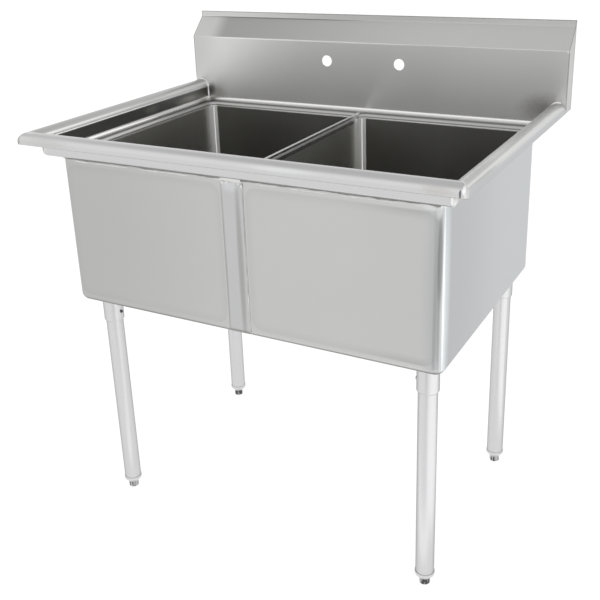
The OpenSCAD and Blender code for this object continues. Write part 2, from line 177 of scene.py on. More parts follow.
@dataclass(frozen=True)
class Mark:
    """A soft-edged patch of colour and roughness: heat tint and ground metal, and painted highlights and
    shade.

    Strength is how much of it shows, soft how wide its edge fades and wander how unevenly its
    edge runs. A later mark lies over the earlier ones.
    """

    centre_mm: tuple[float, float, float]
    reach_mm: tuple[float, float, float]
    tone: str
    roughness: float = 0.4
    strength: float = 1.0
    soft: float = 0.4
    wander: float = 0.6


@dataclass(frozen=True)
class Panel:
    """A painted reflection: the faint frame that a flat panel, pulled by the welds round it, shows in
    its shine, painted into its colour.

    The frame is a dark line between a paler rim outside it and the plain panel inside it. Its
    three stops are shares of twice the frame's corner radius.
    """

    centre_mm: tuple[float, float, float]
    half_mm: tuple[float, float, float]
    corner_mm: float
    depth: float = 0.1
    stops: tuple[float, float, float] = (0.15, 0.45, 0.53)
    inner_light: float = 0.98
    rim_light: float = 1.07
    middle_strength: float = 0.35


@dataclass(frozen=True)
class Finish:
    """What every finish has: a name, a colour and values for the shader."""

    name: str
    tone: str

    def surface(self, tree: bpy.types.NodeTree, place: bpy.types.NodeSocket) -> dict[str, Any]:
        """Works out the shader's values. Each kind of finish has its own.

        Args:
            tree: the material's node tree.
            place: the point's place on the sink.

        Returns:
            For each of the shader's inputs, a number, a colour or an output socket.
        """
        raise NotImplementedError

    def material(self) -> bpy.types.Material:
        """Gives the finish's material, which is built when it is first asked for.

        Returns:
            The material.
        """
        made = bpy.data.materials.get(self.name)
        if made is None:
            made, tree, output = new_material(self.name)
            place = add_node(tree, "TexCoord").outputs["Object"]
            shader = add_node(tree, "BsdfPrincipled", self.surface(tree, place))
            tree.links.new(shader.outputs["BSDF"], output.inputs["Surface"])
        return made


@dataclass(frozen=True)
class BrushedStainless(Finish):
    """Stainless steel sheet, cold rolled and then brushed with a belt along one direction.

    The scratches blur reflections across the grain and leave them sharper along it. Real ones are
    about 0.1 mm wide. They are drawn 1.5 mm wide or more, because finer ones wouldn't show.
    """

    grain: Grain
    roughness: float = 0.28
    roughness_spread: float = 0.03
    anisotropy: float = 0.6
    edge_tone: str = "#e6e6e6"
    scratch_mm: float = 1.5
    scratch_length_mm: float = 120.0
    scratch_depth_mm: float = 0.005
    cloud_mm: float = 180.0
    cloud: float = 0.02
    mark_edge_mm: float = 7.0
    marks: tuple[Mark, ...] = ()
    panel: Panel | None = None

    def tangent(self, tree: bpy.types.NodeTree) -> bpy.types.NodeSocket:
        """Gives the direction across the scratches, in which highlights stretch.

        Args:
            tree: the material's node tree.

        Returns:
            The direction's socket.
        """
        if self.grain is Grain.LEVEL:
            return add_node(tree, "CombineXYZ", {"Z": 1.0}).outputs[0]
        normal = add_node(tree, "NewGeometry").outputs["Normal"]
        along = [float(part) for part in self.grain.value]
        return add_node(tree, "VectorMath", {0: normal, 1: along}, operation="CROSS_PRODUCT").outputs[0]

    def framed(
        self, tree: bpy.types.NodeTree, place: bpy.types.NodeSocket, tint: bpy.types.NodeSocket
    ) -> bpy.types.NodeSocket:
        """Paints the pulled panel's reflected frame into the colour, the same on both sides of the
        middle.

        Args:
            tree: the material's node tree.
            place: the point's place.
            tint: the steel's colour.

        Returns:
            The steel's colour with the frame in it.
        """
        if self.panel is None:
            return tint
        panel = self.panel
        centre = [v * MM for v in panel.centre_mm]
        inner = [(v - panel.corner_mm) * MM for v in panel.half_mm]
        vector = place
        for operation, other in (
            ("ABSOLUTE", {}),
            ("SUBTRACT", {1: centre}),
            ("ABSOLUTE", {}),
            ("SUBTRACT", {1: inner}),
            ("MAXIMUM", {1: (0.0, 0.0, 0.0)}),
        ):
            vector = add_node(tree, "VectorMath", {0: vector, **other}, operation=operation).outputs[0]
        far = add_node(tree, "VectorMath", {0: vector}, operation="LENGTH").outputs["Value"]
        share = add_node(tree, "Math", {0: far, 1: 2 * panel.corner_mm * MM}, operation="DIVIDE")
        ramp = add_node(tree, "ValToRGB", {"Fac": share.outputs[0]})
        stops = ramp.color_ramp.elements
        stops.new(panel.stops[1])
        lights = (panel.inner_light, 1 - panel.depth, panel.rim_light)
        for stop, position, light in zip(stops, panel.stops, lights):
            stop.position = position
            stop.color = (light, light, light, 1.0)
        apart = add_node(tree, "VectorMath", {0: place}, operation="ABSOLUTE").outputs[0]
        limits = {
            "Value": add_node(tree, "SeparateXYZ", {"Vector": apart}).outputs["X"],
            "From Min": centre[0],
            "From Max": centre[0] + inner[0],
            "To Min": panel.middle_strength,
            "To Max": 1.0,
        }
        outward = add_node(tree, "MapRange", limits, interpolation_type="SMOOTHSTEP").outputs["Result"]
        layers = {FACTOR: outward, COLOUR_A: tint, COLOUR_B: ramp.outputs["Color"]}
        shaded = add_node(tree, "Mix", layers, data_type="RGBA", blend_type="MULTIPLY")
        return shaded.outputs[MIXED_COLOUR]

    def marked(
        self,
        tree: bpy.types.NodeTree,
        place: bpy.types.NodeSocket,
        tint: bpy.types.NodeSocket,
        rough: bpy.types.NodeSocket,
    ) -> tuple[bpy.types.NodeSocket, bpy.types.NodeSocket]:
        """Lays the marks over the finish, one after the other.

        Args:
            tree: the material's node tree.
            place: the point's place.
            tint: the steel's colour.
            rough: the steel's roughness.

        Returns:
            The colour and the roughness with the marks in them.
        """
        if not self.marks:
            return tint, rough
        edge_scale = 1 / (self.mark_edge_mm * MM)
        uneven = add_node(tree, "TexNoise", {"Vector": place, "Scale": edge_scale, "Detail": 3.0})
        for mark in self.marks:
            fitted = {
                "Vector": place,
                "Location": [-c / r for c, r in zip(mark.centre_mm, mark.reach_mm)],
                "Scale": [1 / (v * MM) for v in mark.reach_mm],
            }
            moved = add_node(tree, "Mapping", fitted).outputs[0]
            far = add_node(tree, "VectorMath", {0: moved}, operation="LENGTH").outputs["Value"]
            terms = {0: uneven.outputs["Fac"], 1: mark.wander, 2: far}
            stray = add_node(tree, "Math", terms, operation="MULTIPLY_ADD").outputs[0]
            middle = 1 + mark.wander / 2
            limits = {
                "Value": stray,
                "From Min": middle - mark.soft,
                "From Max": middle + mark.soft,
                "To Min": mark.strength,
                "To Max": 0.0,
            }
            part = add_node(tree, "MapRange", limits, interpolation_type="SMOOTHSTEP").outputs["Result"]
            colours = {FACTOR: part, COLOUR_A: tint, COLOUR_B: linear(mark.tone)}
            tint = add_node(tree, "Mix", colours, data_type="RGBA").outputs[MIXED_COLOUR]
            numbers = {FACTOR: part, NUMBER_A: rough, NUMBER_B: mark.roughness}
            rough = add_node(tree, "Mix", numbers, data_type="FLOAT").outputs[MIXED_NUMBER]
        return tint, rough

    def surface(self, tree: bpy.types.NodeTree, place: bpy.types.NodeSocket) -> dict[str, Any]:
        """Works out the shader's values.

        Args:
            tree: the material's node tree.
            place: the point's place on the sink.

        Returns:
            For each of the shader's inputs, a number, a colour or an output socket.
        """
        across = 1 / (self.scratch_mm * MM)
        along = 1 / (self.scratch_length_mm * MM)
        stretch = [along if part else across for part in self.grain.value]
        drawn_out = add_node(tree, "Mapping", {"Vector": place, "Scale": stretch}).outputs["Vector"]
        scratches = add_node(tree, "TexNoise", {"Vector": drawn_out, "Scale": 1.0, "Detail": 3.0})
        height = scratches.outputs["Fac"]
        cloud_scale = 1 / (self.cloud_mm * MM)
        clouds = add_node(tree, "TexNoise", {"Vector": place, "Scale": cloud_scale, "Detail": 4.0})
        spread = {
            "Value": height,
            "From Min": 0.3,
            "From Max": 0.7,
            "To Min": self.roughness - self.roughness_spread,
            "To Max": self.roughness + self.roughness_spread,
        }
        rough = add_node(tree, "MapRange", spread).outputs["Result"]
        shades = {
            FACTOR: clouds.outputs["Fac"],
            COLOUR_A: linear(self.tone, 1 - self.cloud),
            COLOUR_B: linear(self.tone, 1 + self.cloud),
        }
        tint = add_node(tree, "Mix", shades, data_type="RGBA").outputs[MIXED_COLOUR]
        colour, rough = self.marked(tree, place, self.framed(tree, place, tint), rough)
        depth = self.scratch_depth_mm * MM
        relief = add_node(tree, "Bump", {"Height": height, "Strength": 0.35, "Distance": depth})
        return {
            "Metallic": 1.0,
            "Anisotropic": self.anisotropy,
            "Specular Tint": linear(self.edge_tone),
            "Base Color": colour,
            "Roughness": rough,
            "Normal": relief.outputs["Normal"],
            "Tangent": self.tangent(tree),
        }


@dataclass(frozen=True)
class SatinStainless(BrushedStainless):
    """Stainless steel brushed level and then rubbed down with a fine pad.

    It has the soft stretched highlights of brushed steel, with hardly a scratch to be seen.
    """

    grain: Grain = Grain.LEVEL
    roughness: float = 0.3
    roughness_spread: float = 0.01
    scratch_depth_mm: float = 0.001


@dataclass(frozen=True)
class WeldMetal(Finish):
    """Stainless steel that a torch, a grinder or a shear has left with a fine grit.

    The grit breaks the shine up into a dull sparkle. Real grit is about 0.3 mm and is drawn
    coarser, so that it shows.
    """

    roughness: float
    grit_mm: float = 1.2
    grit_depth_mm: float = 0.15
    pit_light: float = 0.85

    def surface(self, tree: bpy.types.NodeTree, place: bpy.types.NodeSocket) -> dict[str, Any]:
        """Works out the shader's values.

        Args:
            tree: the material's node tree.
            place: the point's place on the sink.

        Returns:
            For each of the shader's inputs, a number, a colour or an output socket.
        """
        scale = 1 / (self.grit_mm * MM)
        grit = add_node(tree, "TexNoise", {"Vector": place, "Scale": scale, "Detail": 4.0}).outputs["Fac"]
        shades = {FACTOR: grit, COLOUR_A: linear(self.tone, self.pit_light), COLOUR_B: linear(self.tone)}
        depth = self.grit_depth_mm * MM
        relief = add_node(tree, "Bump", {"Height": grit, "Strength": 0.4, "Distance": depth})
        return {
            "Metallic": 1.0,
            "Base Color": add_node(tree, "Mix", shades, data_type="RGBA").outputs[MIXED_COLOUR],
            "Roughness": self.roughness,
            "Normal": relief.outputs["Normal"],
        }


@dataclass(frozen=True)
class TurnedSteel(Finish):
    """Stainless steel turned or milled from bar, with rings left by the tool.

    The rings stretch its highlights up and down. Real ones are about 0.2 mm apart and are drawn
    about 5 mm apart or more, because finer ones wouldn't show.
    """

    roughness: float = 0.35
    ring_mm: float = 5.03
    ring_depth_mm: float = 0.03
    # Dark upright bands painted into the colour as reflections: their tone, size and stretch.
    streak_tone: str | None = None
    streak_mm: float = 5.0
    streak_stretch: float = 8.0

    def surface(self, tree: bpy.types.NodeTree, place: bpy.types.NodeSocket) -> dict[str, Any]:
        """Works out the shader's values.

        Args:
            tree: the material's node tree.
            place: the point's place on the sink.

        Returns:
            For each of the shader's inputs, a number, a colour or an output socket.
        """
        # The wave texture takes the sine of twenty times the scaled place.
        turns = {
            "Vector": place,
            "Scale": math.tau / (self.ring_mm * MM) / 20,
            "Distortion": 0.4,
            "Detail": 1.0,
        }
        rings = add_node(tree, "TexWave", turns, bands_direction="Z").outputs["Fac"]
        depth = self.ring_depth_mm * MM
        relief = add_node(tree, "Bump", {"Height": rings, "Strength": 0.3, "Distance": depth})
        scale = 1 / (self.streak_mm * MM)
        stretch = (scale, scale, scale / self.streak_stretch)
        upright = add_node(tree, "Mapping", {"Vector": place, "Scale": stretch}).outputs["Vector"]
        reflection_streaks = add_node(tree, "TexNoise", {"Vector": upright, "Scale": 1.0, "Detail": 1.0})
        limits = {"Value": reflection_streaks.outputs["Fac"], "From Min": 0.42, "From Max": 0.58}
        shades = {
            FACTOR: add_node(tree, "MapRange", limits).outputs["Result"],
            COLOUR_A: linear(self.streak_tone or self.tone),
            COLOUR_B: linear(self.tone),
        }
        return {
            "Metallic": 1.0,
            "Base Color": add_node(tree, "Mix", shades, data_type="RGBA").outputs[MIXED_COLOUR],
            "Roughness": self.roughness,
            "Normal": relief.outputs["Normal"],
        }


@dataclass(frozen=True)
class MouldedRubber(Finish):
    """Black nitrile rubber, moulded, whose dull skin gives no highlight.

    The grain of real skin is about 0.1 mm and is drawn coarser, so that it shows.
    """

    roughness: float = 0.75
    grain_mm: float = 0.6
    grain_depth_mm: float = 0.1

    def surface(self, tree: bpy.types.NodeTree, place: bpy.types.NodeSocket) -> dict[str, Any]:
        """Works out the shader's values.

        Args:
            tree: the material's node tree.
            place: the point's place on the sink.

        Returns:
            For each of the shader's inputs, a number, a colour or an output socket.
        """
        skin = add_node(tree, "TexNoise", {"Vector": place, "Scale": 1 / (self.grain_mm * MM)})
        depth = self.grain_depth_mm * MM
        bumps = {"Height": skin.outputs["Fac"], "Strength": 0.4, "Distance": depth}
        return {
            "Base Color": linear(self.tone),
            "Roughness": self.roughness,
            "Normal": add_node(tree, "Bump", bumps).outputs["Normal"],
        }


# The marks of each finish: middle and reach along x, y and z in millimetres, tone, roughness,
# strength, soft and wander. A reach of ALL lets a mark run the whole way along that axis.
ALL = 9000

FRONT_RIM_MARKS = (
    # The front right corner: painted shade in the mitre's notch, and the ground metal round it.
    Mark((504.4, -374, 953), (2.0, 4, 8), "#55575a", 0.5, 0.85, 0.35, 0.9),
    Mark((511, -372, 963), (3.4, 8, 9), "#ffffff", 0.5, 0.9, 0.35, 1.1),
    Mark((514, -370, 951), (3.0, 8, 5), "#ededeb", 0.5, 0.8, 0.5, 1.2),
    Mark((480, -338, 926), (3.5, 4, 10), "#ffffff", 0.5, 0.8, 0.4, 1.2),
    Mark((462, -374, 955), (26, 6, 8), "#bdbbb7", 0.35, 0.6, 0.5, 0.5),
    # A paler patch on the roll.
    Mark((150, -374, 958), (60, 8, 5), "#dcdddd", 0.3, 0.5, 0.6, 0.9),
    # The front left corner: painted shade at the roll's end and along the roll, and painted highlights
    # on the wall's corner and on the roll's top.
    Mark((-519, -372, 952), (5, 8, 14), "#8f8f8e", 0.35, 0.6, 0.5, 0.5),
    Mark((-480, -338, 937), (7, 4, 14), "#dcdcda", 0.45, 0.7, 0.5, 1.2),
    Mark((-440, -372, 955), (60, 9, 9), "#bcbcba", 0.3, 0.6, 0.6, 0.7),
    Mark((-498, -355, 971), (12, 6, 4), "#eeeeec", 0.5, 0.7, 0.5, 1.0),
)
SIDE_RIM_MARKS = (
    # Ground metal at the front right corner, and a painted highlight on the left roll's top at the front.
    Mark((484, -330, 926), (6, 7, 12), "#ffffff", 0.5, 0.85, 0.4, 0.9),
    Mark((519, -340, 955), (6, 14, 12), "#dfdfdf", 0.45, 0.7, 0.5, 0.9),
    Mark((-500, -345, 971), (12, 8, 5), "#e6e6e4", 0.5, 0.6, 0.5, 1.0),
    # Painted shade on the left roll and on the foot of the wall inside it, with two paler patches.
    Mark((-505, -160, 960), (30, 420, 30), "#b0b0af", 0.3, 0.85, 0.4, 0.0),
    Mark((-482, 0, 936), (6, ALL, 15), "#838381", 0.3, 0.9, 0.3, 0.2),
    Mark((-482, 60, 938), (6, 26, 9), "#b9b7b3", 0.3, 0.7, 0.6, 1.2),
    Mark((-482, 215, 932), (6, 40, 8), "#c4c2be", 0.3, 0.7, 0.6, 1.0),
    # Painted shade on the front of the right roll, and heat tint at the rear of the left wall.
    Mark((501, -300, 965), (60, 90, 40), "#b0b0ae", 0.3, 0.85, 0.6, 0.0),
    Mark((-484, 300, 934), (4, 26, 12), "#807c76", 0.45, 0.7, 0.6, 0.8),
    # A painted highlight along the top of the left wall, and heat tint at the rear of the right one.
    Mark((-483, 0, 956.5), (6, ALL, 5.5), "#f4f4f2", 0.3, 0.85, 0.3, 0.2),
    Mark((-485, 250, 958), (7, 170, 8), "#ffffff", 0.3, 0.95, 0.4, 0.2),
    Mark((484, 308, 935), (10, 22, 20), "#98948e", 0.45, 0.6, 0.6, 0.8),
    # Painted highlight and shade lines along the right roll, and a cool painted reflection on its outer
    # side.
    Mark((494.5, -170, 969.7), (8, 290, 5), "#eeeeec", 0.34, 0.8, 0.5, 0.5),
    Mark((510, -130, 969.1), (2.8, 230, 2.2), "#bcbcba", 0.34, 0.75, 0.5, 0.6),
    Mark((514.6, -230, 966.0), (2.8, 290, 2.6), "#d6d6d5", 0.34, 0.85, 0.4, 0.6),
    Mark((524, 0, 950), (9, ALL, 13), "#c0c2c3", 0.34, 0.9, 0.3, 0.2),
)
SPLASH_MARKS = (
    # Heat tint where the rims meet the backsplash's foot.
    Mark((-471, 323, 944), (11, 8, 17), "#6b6964", 0.45, 0.75, 0.6, 0.8),
    Mark((-452, 323, 934), (26, 8, 15), "#98968f", 0.45, 0.5, 0.6, 0.8),
    Mark((470, 323, 948), (14, 8, 20), "#77756f", 0.45, 0.6, 0.5, 0.8),
    # A painted highlight along the bend under the sloped return, and painted shade on the top edge.
    Mark((-160, 323, 1089), (300, 6, 1.6), "#f4f4f2", 0.36, 0.8, 0.4, 0.3),
    Mark((-200, 373, 1147), (520, 3, 6.2), "#c8c8c6", 0.36, 0.9, 0.2, 0.0),
    # The right end, and the ground corner at its bend.
    Mark((521, 345, 1040), (3, 60, 170), "#b4b4b2", 0.36, 0.6, 0.4, 0.0),
    Mark((521, 376, 1040), (3, 7, 170), "#8c8c8a", 0.36, 0.7, 0.4, 0.2),
    Mark((519, 323, 1089), (5, 5, 4), "#ffffff", 0.36, 0.8, 0.4, 0.4),
    # Broad painted light and shade: paler towards the right end, darker towards the left.
    Mark((400, 323, 1020), (150, 60, 120), "#dededd", 0.36, 0.7, 0.8, 0.0),
    Mark((-520, 323, 1070), (60, 8, 120), "#b9b9b7", 0.36, 0.7, 0.8, 0.0),
    # The wide heat spot at the right end's foot.
    Mark((468, 323, 953), (42, 8, 27), "#898783", 0.4, 0.68, 0.8, 0.7),
)
RETURN_PAINTED_LIGHT_MARKS = (
    # Painted shade towards the left end, painted light at that end, and a line of painted shade under
    # the top edge.
    Mark((-900, 0, 0), (774, ALL, ALL), "#adadab", 0.36, 1.0, 0.49, 0.0),
    Mark((-700, 0, 0), (257, ALL, ALL), "#d4d4d3", 0.36, 1.0, 0.1, 0.0),
    Mark((-270, 372, 1138.6), (230, 4, 1.8), "#868682", 0.36, 0.8, 0.3, 0.1),
)
BOWL_PAINTED_LIGHT_MARKS = (
    # Broad painted shade on the two fronts, and a cool painted reflection on the right end.
    Mark((-470, -312, 730), (330, 60, 400), "#b0b0af", 0.3, 0.8, 0.8, 0.0),
    Mark((462, 0, 730), (12, 900, 900), "#c7cacc", 0.3, 0.95, 0.3, 0.0),
    Mark((459, -310, 730), (30, 230, 400), "#b7b9bb", 0.3, 0.8, 0.8, 0.0),
    # The upright corners at the front: painted dark and bright reflections that follow the bend.
    Mark((438, -312, 730), (16, 8, 160), "#aeafae", 0.3, 0.45, 0.8, 0.0),
    Mark((448.6, -309.0, 798), (4.4, 5.2, 92), "#8a8c8b", 0.3, 0.9, 0.4, 0.15),
    Mark((448.0, -309.4, 640), (2.4, 3.0, 80), "#979896", 0.3, 0.7, 0.5, 0.4),
    Mark((434.0, -312.0, 903), (20, 5, 7), "#dcdddd", 0.3, 0.7, 0.5, 0.2),
    Mark((445.5, -310.4, 896), (5.5, 5, 15), "#dcdddd", 0.3, 0.7, 0.5, 0.2),
    Mark((459.0, -296.0, 735), (6, 13.0, 182), "#d4d9db", 0.3, 0.9, 0.7, 0.0),
    Mark((454.5, -303.4, 735), (1.9, 2.2, 182), "#eef1f2", 0.3, 0.85, 0.5, 0.3),
    Mark((-455, -302.5, 735), (4.6, 7.5, 180), "#e4e5e5", 0.3, 0.8, 0.4, 0.1),
    # Painted shade on the bend into the floor.
    Mark((0, 0, 552.5), (ALL, ALL, 10), "#7c7b77", 0.3, 0.85, 0.35, 0.2),
)
BOWL_EDGE_PAINTED_LIGHT_MARKS = (
    # Four level lines of painted shade and painted highlight round the rounded edge, from the top down.
    Mark((0, 0, 914.4), (ALL, ALL, 1.5), "#8c8c8a", 0.3, 0.85, 0.3, 0.1),
    Mark((0, 0, 909.8), (ALL, ALL, 2.0), "#c8c8c6", 0.3, 0.85, 0.3, 0.1),
    Mark((0, 0, 905.6), (ALL, ALL, 1.4), "#72726f", 0.3, 0.85, 0.3, 0.1),
    Mark((0, 0, 901.8), (ALL, ALL, 1.8), "#d8d8d6", 0.3, 0.85, 0.3, 0.1),
)
# A painted highlight along the upper part of the cap's side.
CAP_PAINTED_HIGHLIGHT_MARKS = (Mark((4, 0, 906.5), (3, ALL, 3.0), "#ffffff", 0.6, 0.7, 0.4, 0.2),)
# Painted light on the inner side walls: along the walls at the divider, and towards the rear of the left
# bowl's outer wall.
SIDE_WALL_PAINTED_LIGHT_MARKS = (
    Mark((3, 0, 740), (10, ALL, 400), "#e4e4e0", 0.36, 0.8, 0.4, 0.0),
    Mark((-457, 250, 790), (8, 110, 130), "#f0f0ee", 0.36, 0.5, 0.8, 0.0),
)
STRIP_PAINTED_LIGHT_MARKS = (
    # Painted shade down the strip's two sides, a painted highlight below its fill, and painted shade at
    # its foot.
    Mark((13.0, -314, 716), (6.4, 6, 182), "#9b9b99", 0.3, 0.75, 0.5, 0.3),
    Mark((-24.8, -314, 716), (2.6, 6, 180), "#a5a4a2", 0.3, 0.85, 0.5, 0.4),
    Mark((-4, -314, 895), (17, 6, 14), "#dcdfdf", 0.4, 0.4, 0.6, 0.9),
    Mark((0, 0, 563), (90, ALL, 4.5), "#84837f", 0.3, 0.7, 0.5, 0.3),
)

# The bowls: outsides with painted shade and a painted panel reflection, insides painted darker as
# shade, and side walls painted paler as light.
BOWL_PANEL_REFLECTION = Panel((238, 0, 734), (208, ALL, 160), corner_mm=27, depth=0.19)
BOWL_OUTSIDE = SatinStainless(
    "satin_stainless_bowl", "#bfbfbe", scratch_mm=2.2, marks=BOWL_PAINTED_LIGHT_MARKS, panel=BOWL_PANEL_REFLECTION
)
BOWL_INSIDE_PAINTED_SHADE = SatinStainless("satin_stainless_bowl_inside", "#8f8e8b")
BOWL_SIDE_WALL_PAINTED_LIGHT = SatinStainless(
    "satin_stainless_bowl_side_wall", "#d0d0cc", roughness=0.33, marks=SIDE_WALL_PAINTED_LIGHT_MARKS
)
# Corners brushed by hand every way look white and matt, and the polished edge carries painted lines
# of shade and highlight.
BOWL_CORNER = WeldMetal("hand_brushed_stainless_corner", "#f4f4f2", 0.75)
BOWL_EDGE = BrushedStainless(
    "polished_stainless_edge", "#a2a29f", Grain.LEVEL, 0.33, anisotropy=0.3, marks=BOWL_EDGE_PAINTED_LIGHT_MARKS
)
# The coves are polished with a wheel along the bend, which gives a narrow bright line.
COVE = BrushedStainless("polished_stainless_cove", "#e4e4e2", Grain.ACROSS, 0.2)
SIDE_COVE = BrushedStainless(
    "polished_stainless_side_cove", "#f4f4f2", Grain.DEEP, 0.18, roughness_spread=0.02, anisotropy=0.2
)
# The rims and the backsplash keep the belt's scratches along their length.
FRONT_RIM = BrushedStainless(
    "brushed_stainless_rim_across", "#c9c9c9", Grain.ACROSS, 0.2, marks=FRONT_RIM_MARKS
)
SIDE_RIM = BrushedStainless(
    "brushed_stainless_rim_deep", "#d2d2d1", Grain.DEEP, 0.34, marks=SIDE_RIM_MARKS
)
SPLASH = BrushedStainless(
    "brushed_stainless_splash", "#d0d0cf", Grain.ACROSS, 0.36, anisotropy=0.8, marks=SPLASH_MARKS
)
RETURN = BrushedStainless(
    "brushed_stainless_return", "#d0d0cf", Grain.ACROSS, 0.36, anisotropy=0.8, marks=RETURN_PAINTED_LIGHT_MARKS
)
# The cap over the divider shines brightest, and the seam's strip looks like the bowls it joins.
CAP = BrushedStainless("polished_stainless_cap", "#ffffff", Grain.DEEP, 0.2, marks=CAP_PAINTED_HIGHLIGHT_MARKS)
STRIP = SatinStainless("satin_stainless_strip", "#bcbcbd", scratch_mm=2.2, marks=STRIP_PAINTED_LIGHT_MARKS)
# Drawn tube, ground round: soft upright highlights that fall off at its sides.
TUBE = SatinStainless("ground_stainless_tube", "#d0d0d1", edge_tone="#b4b4b4", scratch_mm=2.2)
# Bar steel: bright turned drains and inserts, and milled feet with dark upright bands painted in as
# reflections.
TURNED = TurnedSteel("turned_stainless", "#c0c0be")
INSERT = TurnedSteel("turned_stainless_insert", "#d4d4d5", 0.4)
FOOT = TurnedSteel(
    "milled_steel_foot", "#b8b8b8", 0.3, ring_mm=15.08, ring_depth_mm=0.3, streak_tone="#505050"
)
# Welds: a polished line and ground metal, both also laid as thin lines of painted highlight; metal
# darkened partly by heat tint and partly as painted shade under the deck; and a sheared edge, also
# laid as dark lines of painted shade.
GROUND_LINE_AND_PAINTED_HIGHLIGHT = WeldMetal("ground_stainless_line", "#ffffff", 0.3)
GROUND_WELD_AND_PAINTED_HIGHLIGHT = WeldMetal("ground_stainless_weld", "#e2e2e0", 0.5)
SCORCHED_WELD_AND_PAINTED_SHADE = WeldMetal("scorched_stainless_weld", "#9a9895", 0.55)
SHEARED_EDGE_AND_PAINTED_SHADE = WeldMetal("sheared_stainless_edge", "#b4b4b2", 0.45)
RUBBER = MouldedRubber("black_rubber", "#232323")


def dress(node: str, finishes: Sequence[Finish], crease_deg: float = 35.0) -> None:
    """Gives a solid its finishes and smooths its curved faces.

    Args:
        node: the solid's name.
        finishes: its finishes, the first of them for every face.
        crease_deg: faces that meet at more than this angle keep a sharp edge between them.
    """
    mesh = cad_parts[node].data
    mesh.materials.clear()
    for finish in finishes:
        mesh.materials.append(finish.material())
    for polygon in mesh.polygons:
        polygon.use_smooth = True
        polygon.material_index = 0
    mesh.set_sharp_from_angle(angle=math.radians(crease_deg))
    log.info("%s: %s", node, ", ".join(finish.name for finish in finishes))


def refinish(node: str, number: int, belongs: Callable[[bpy.types.MeshPolygon], bool]) -> None:
    """Gives another of its finishes to some of a solid's faces.

    Args:
        node: the solid's name.
        number: the finish's place among the solid's finishes.
        belongs: tells whether a face gets that finish.
    """
    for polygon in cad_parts[node].data.polygons:
        if belongs(polygon):
            polygon.material_index = number


def new_piece(
    name: str,
    points: Sequence[Vector],
    faces: Sequence[Sequence[int]],
    finish: Finish,
    crease_deg: float = 60.0,
) -> bpy.types.Object:
    """Makes a piece that rides on the sink.

    Args:
        name: the piece's name.
        points: its corners.
        faces: its faces, as indices of the corners.
        finish: its finish.
        crease_deg: faces that meet at more than this angle keep a sharp edge between them.

    Returns:
        The piece.
    """
    mesh = bpy.data.meshes.new(name)
    mesh.from_pydata([tuple(point) for point in points], [], [tuple(face) for face in faces])
    mesh.validate()
    mesh.materials.append(finish.material())
    for polygon in mesh.polygons:
        polygon.use_smooth = True
    mesh.set_sharp_from_angle(angle=math.radians(crease_deg))
    piece = place_object(name, mesh)
    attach(piece, "sink")
    log.info("%s: %s", name, finish.name)
    return piece


def route(*places: tuple[float, float, float]) -> tuple[Vector, ...]:
    """Turns places to the points of a path."""
    return tuple(Vector(place) for place in places)


@dataclass(frozen=True)
class Wave:
    """Smooth noise along a run of weld. Its seed step and layer keep it apart from the other waves."""

    length_mm: float
    seed_step: float
    layer: float
    gain: float = 1.0

    def at(self, run: float, seed: float) -> float:
        """Gives the noise at one place along the run, the same on every run of the script."""
        place = Vector((run / (self.length_mm * MM), seed * self.seed_step, self.layer))
        return noise.noise(place) * self.gain


# How the hand slows and hurries, how the metal puddles, where the grinder took the bead off, and
# how the bead strays to either side.
SLOW_SWELL = Wave(16, 7.3, 0.0, 1.6)
FAST_SWELL = Wave(3.5, 3.1, 5.0, 0.8)
GROUND_OFF = Wave(38, 5.7, 9.0, 2.5)
STRAY = Wave(22, 2.9, 2.0)


@dataclass(frozen=True)
class Lay:
    """How a bead is laid: half its width and its height, and the ripples and wandering of hand work.

    Patchy is how much of it the grinder took off in places. A ripple share above zero lays it as a
    stack of scales, each thinner towards the path's end. Its underside is kept flat.
    """

    half_mm: float
    rise_mm: float
    wander: float = 0.3
    patchy: float = 0.0
    step_mm: float = 1.2
    ripple: float = 0.0
    sides: int = 10
    sunk_mm: float = 0.5
    least: float = 0.12


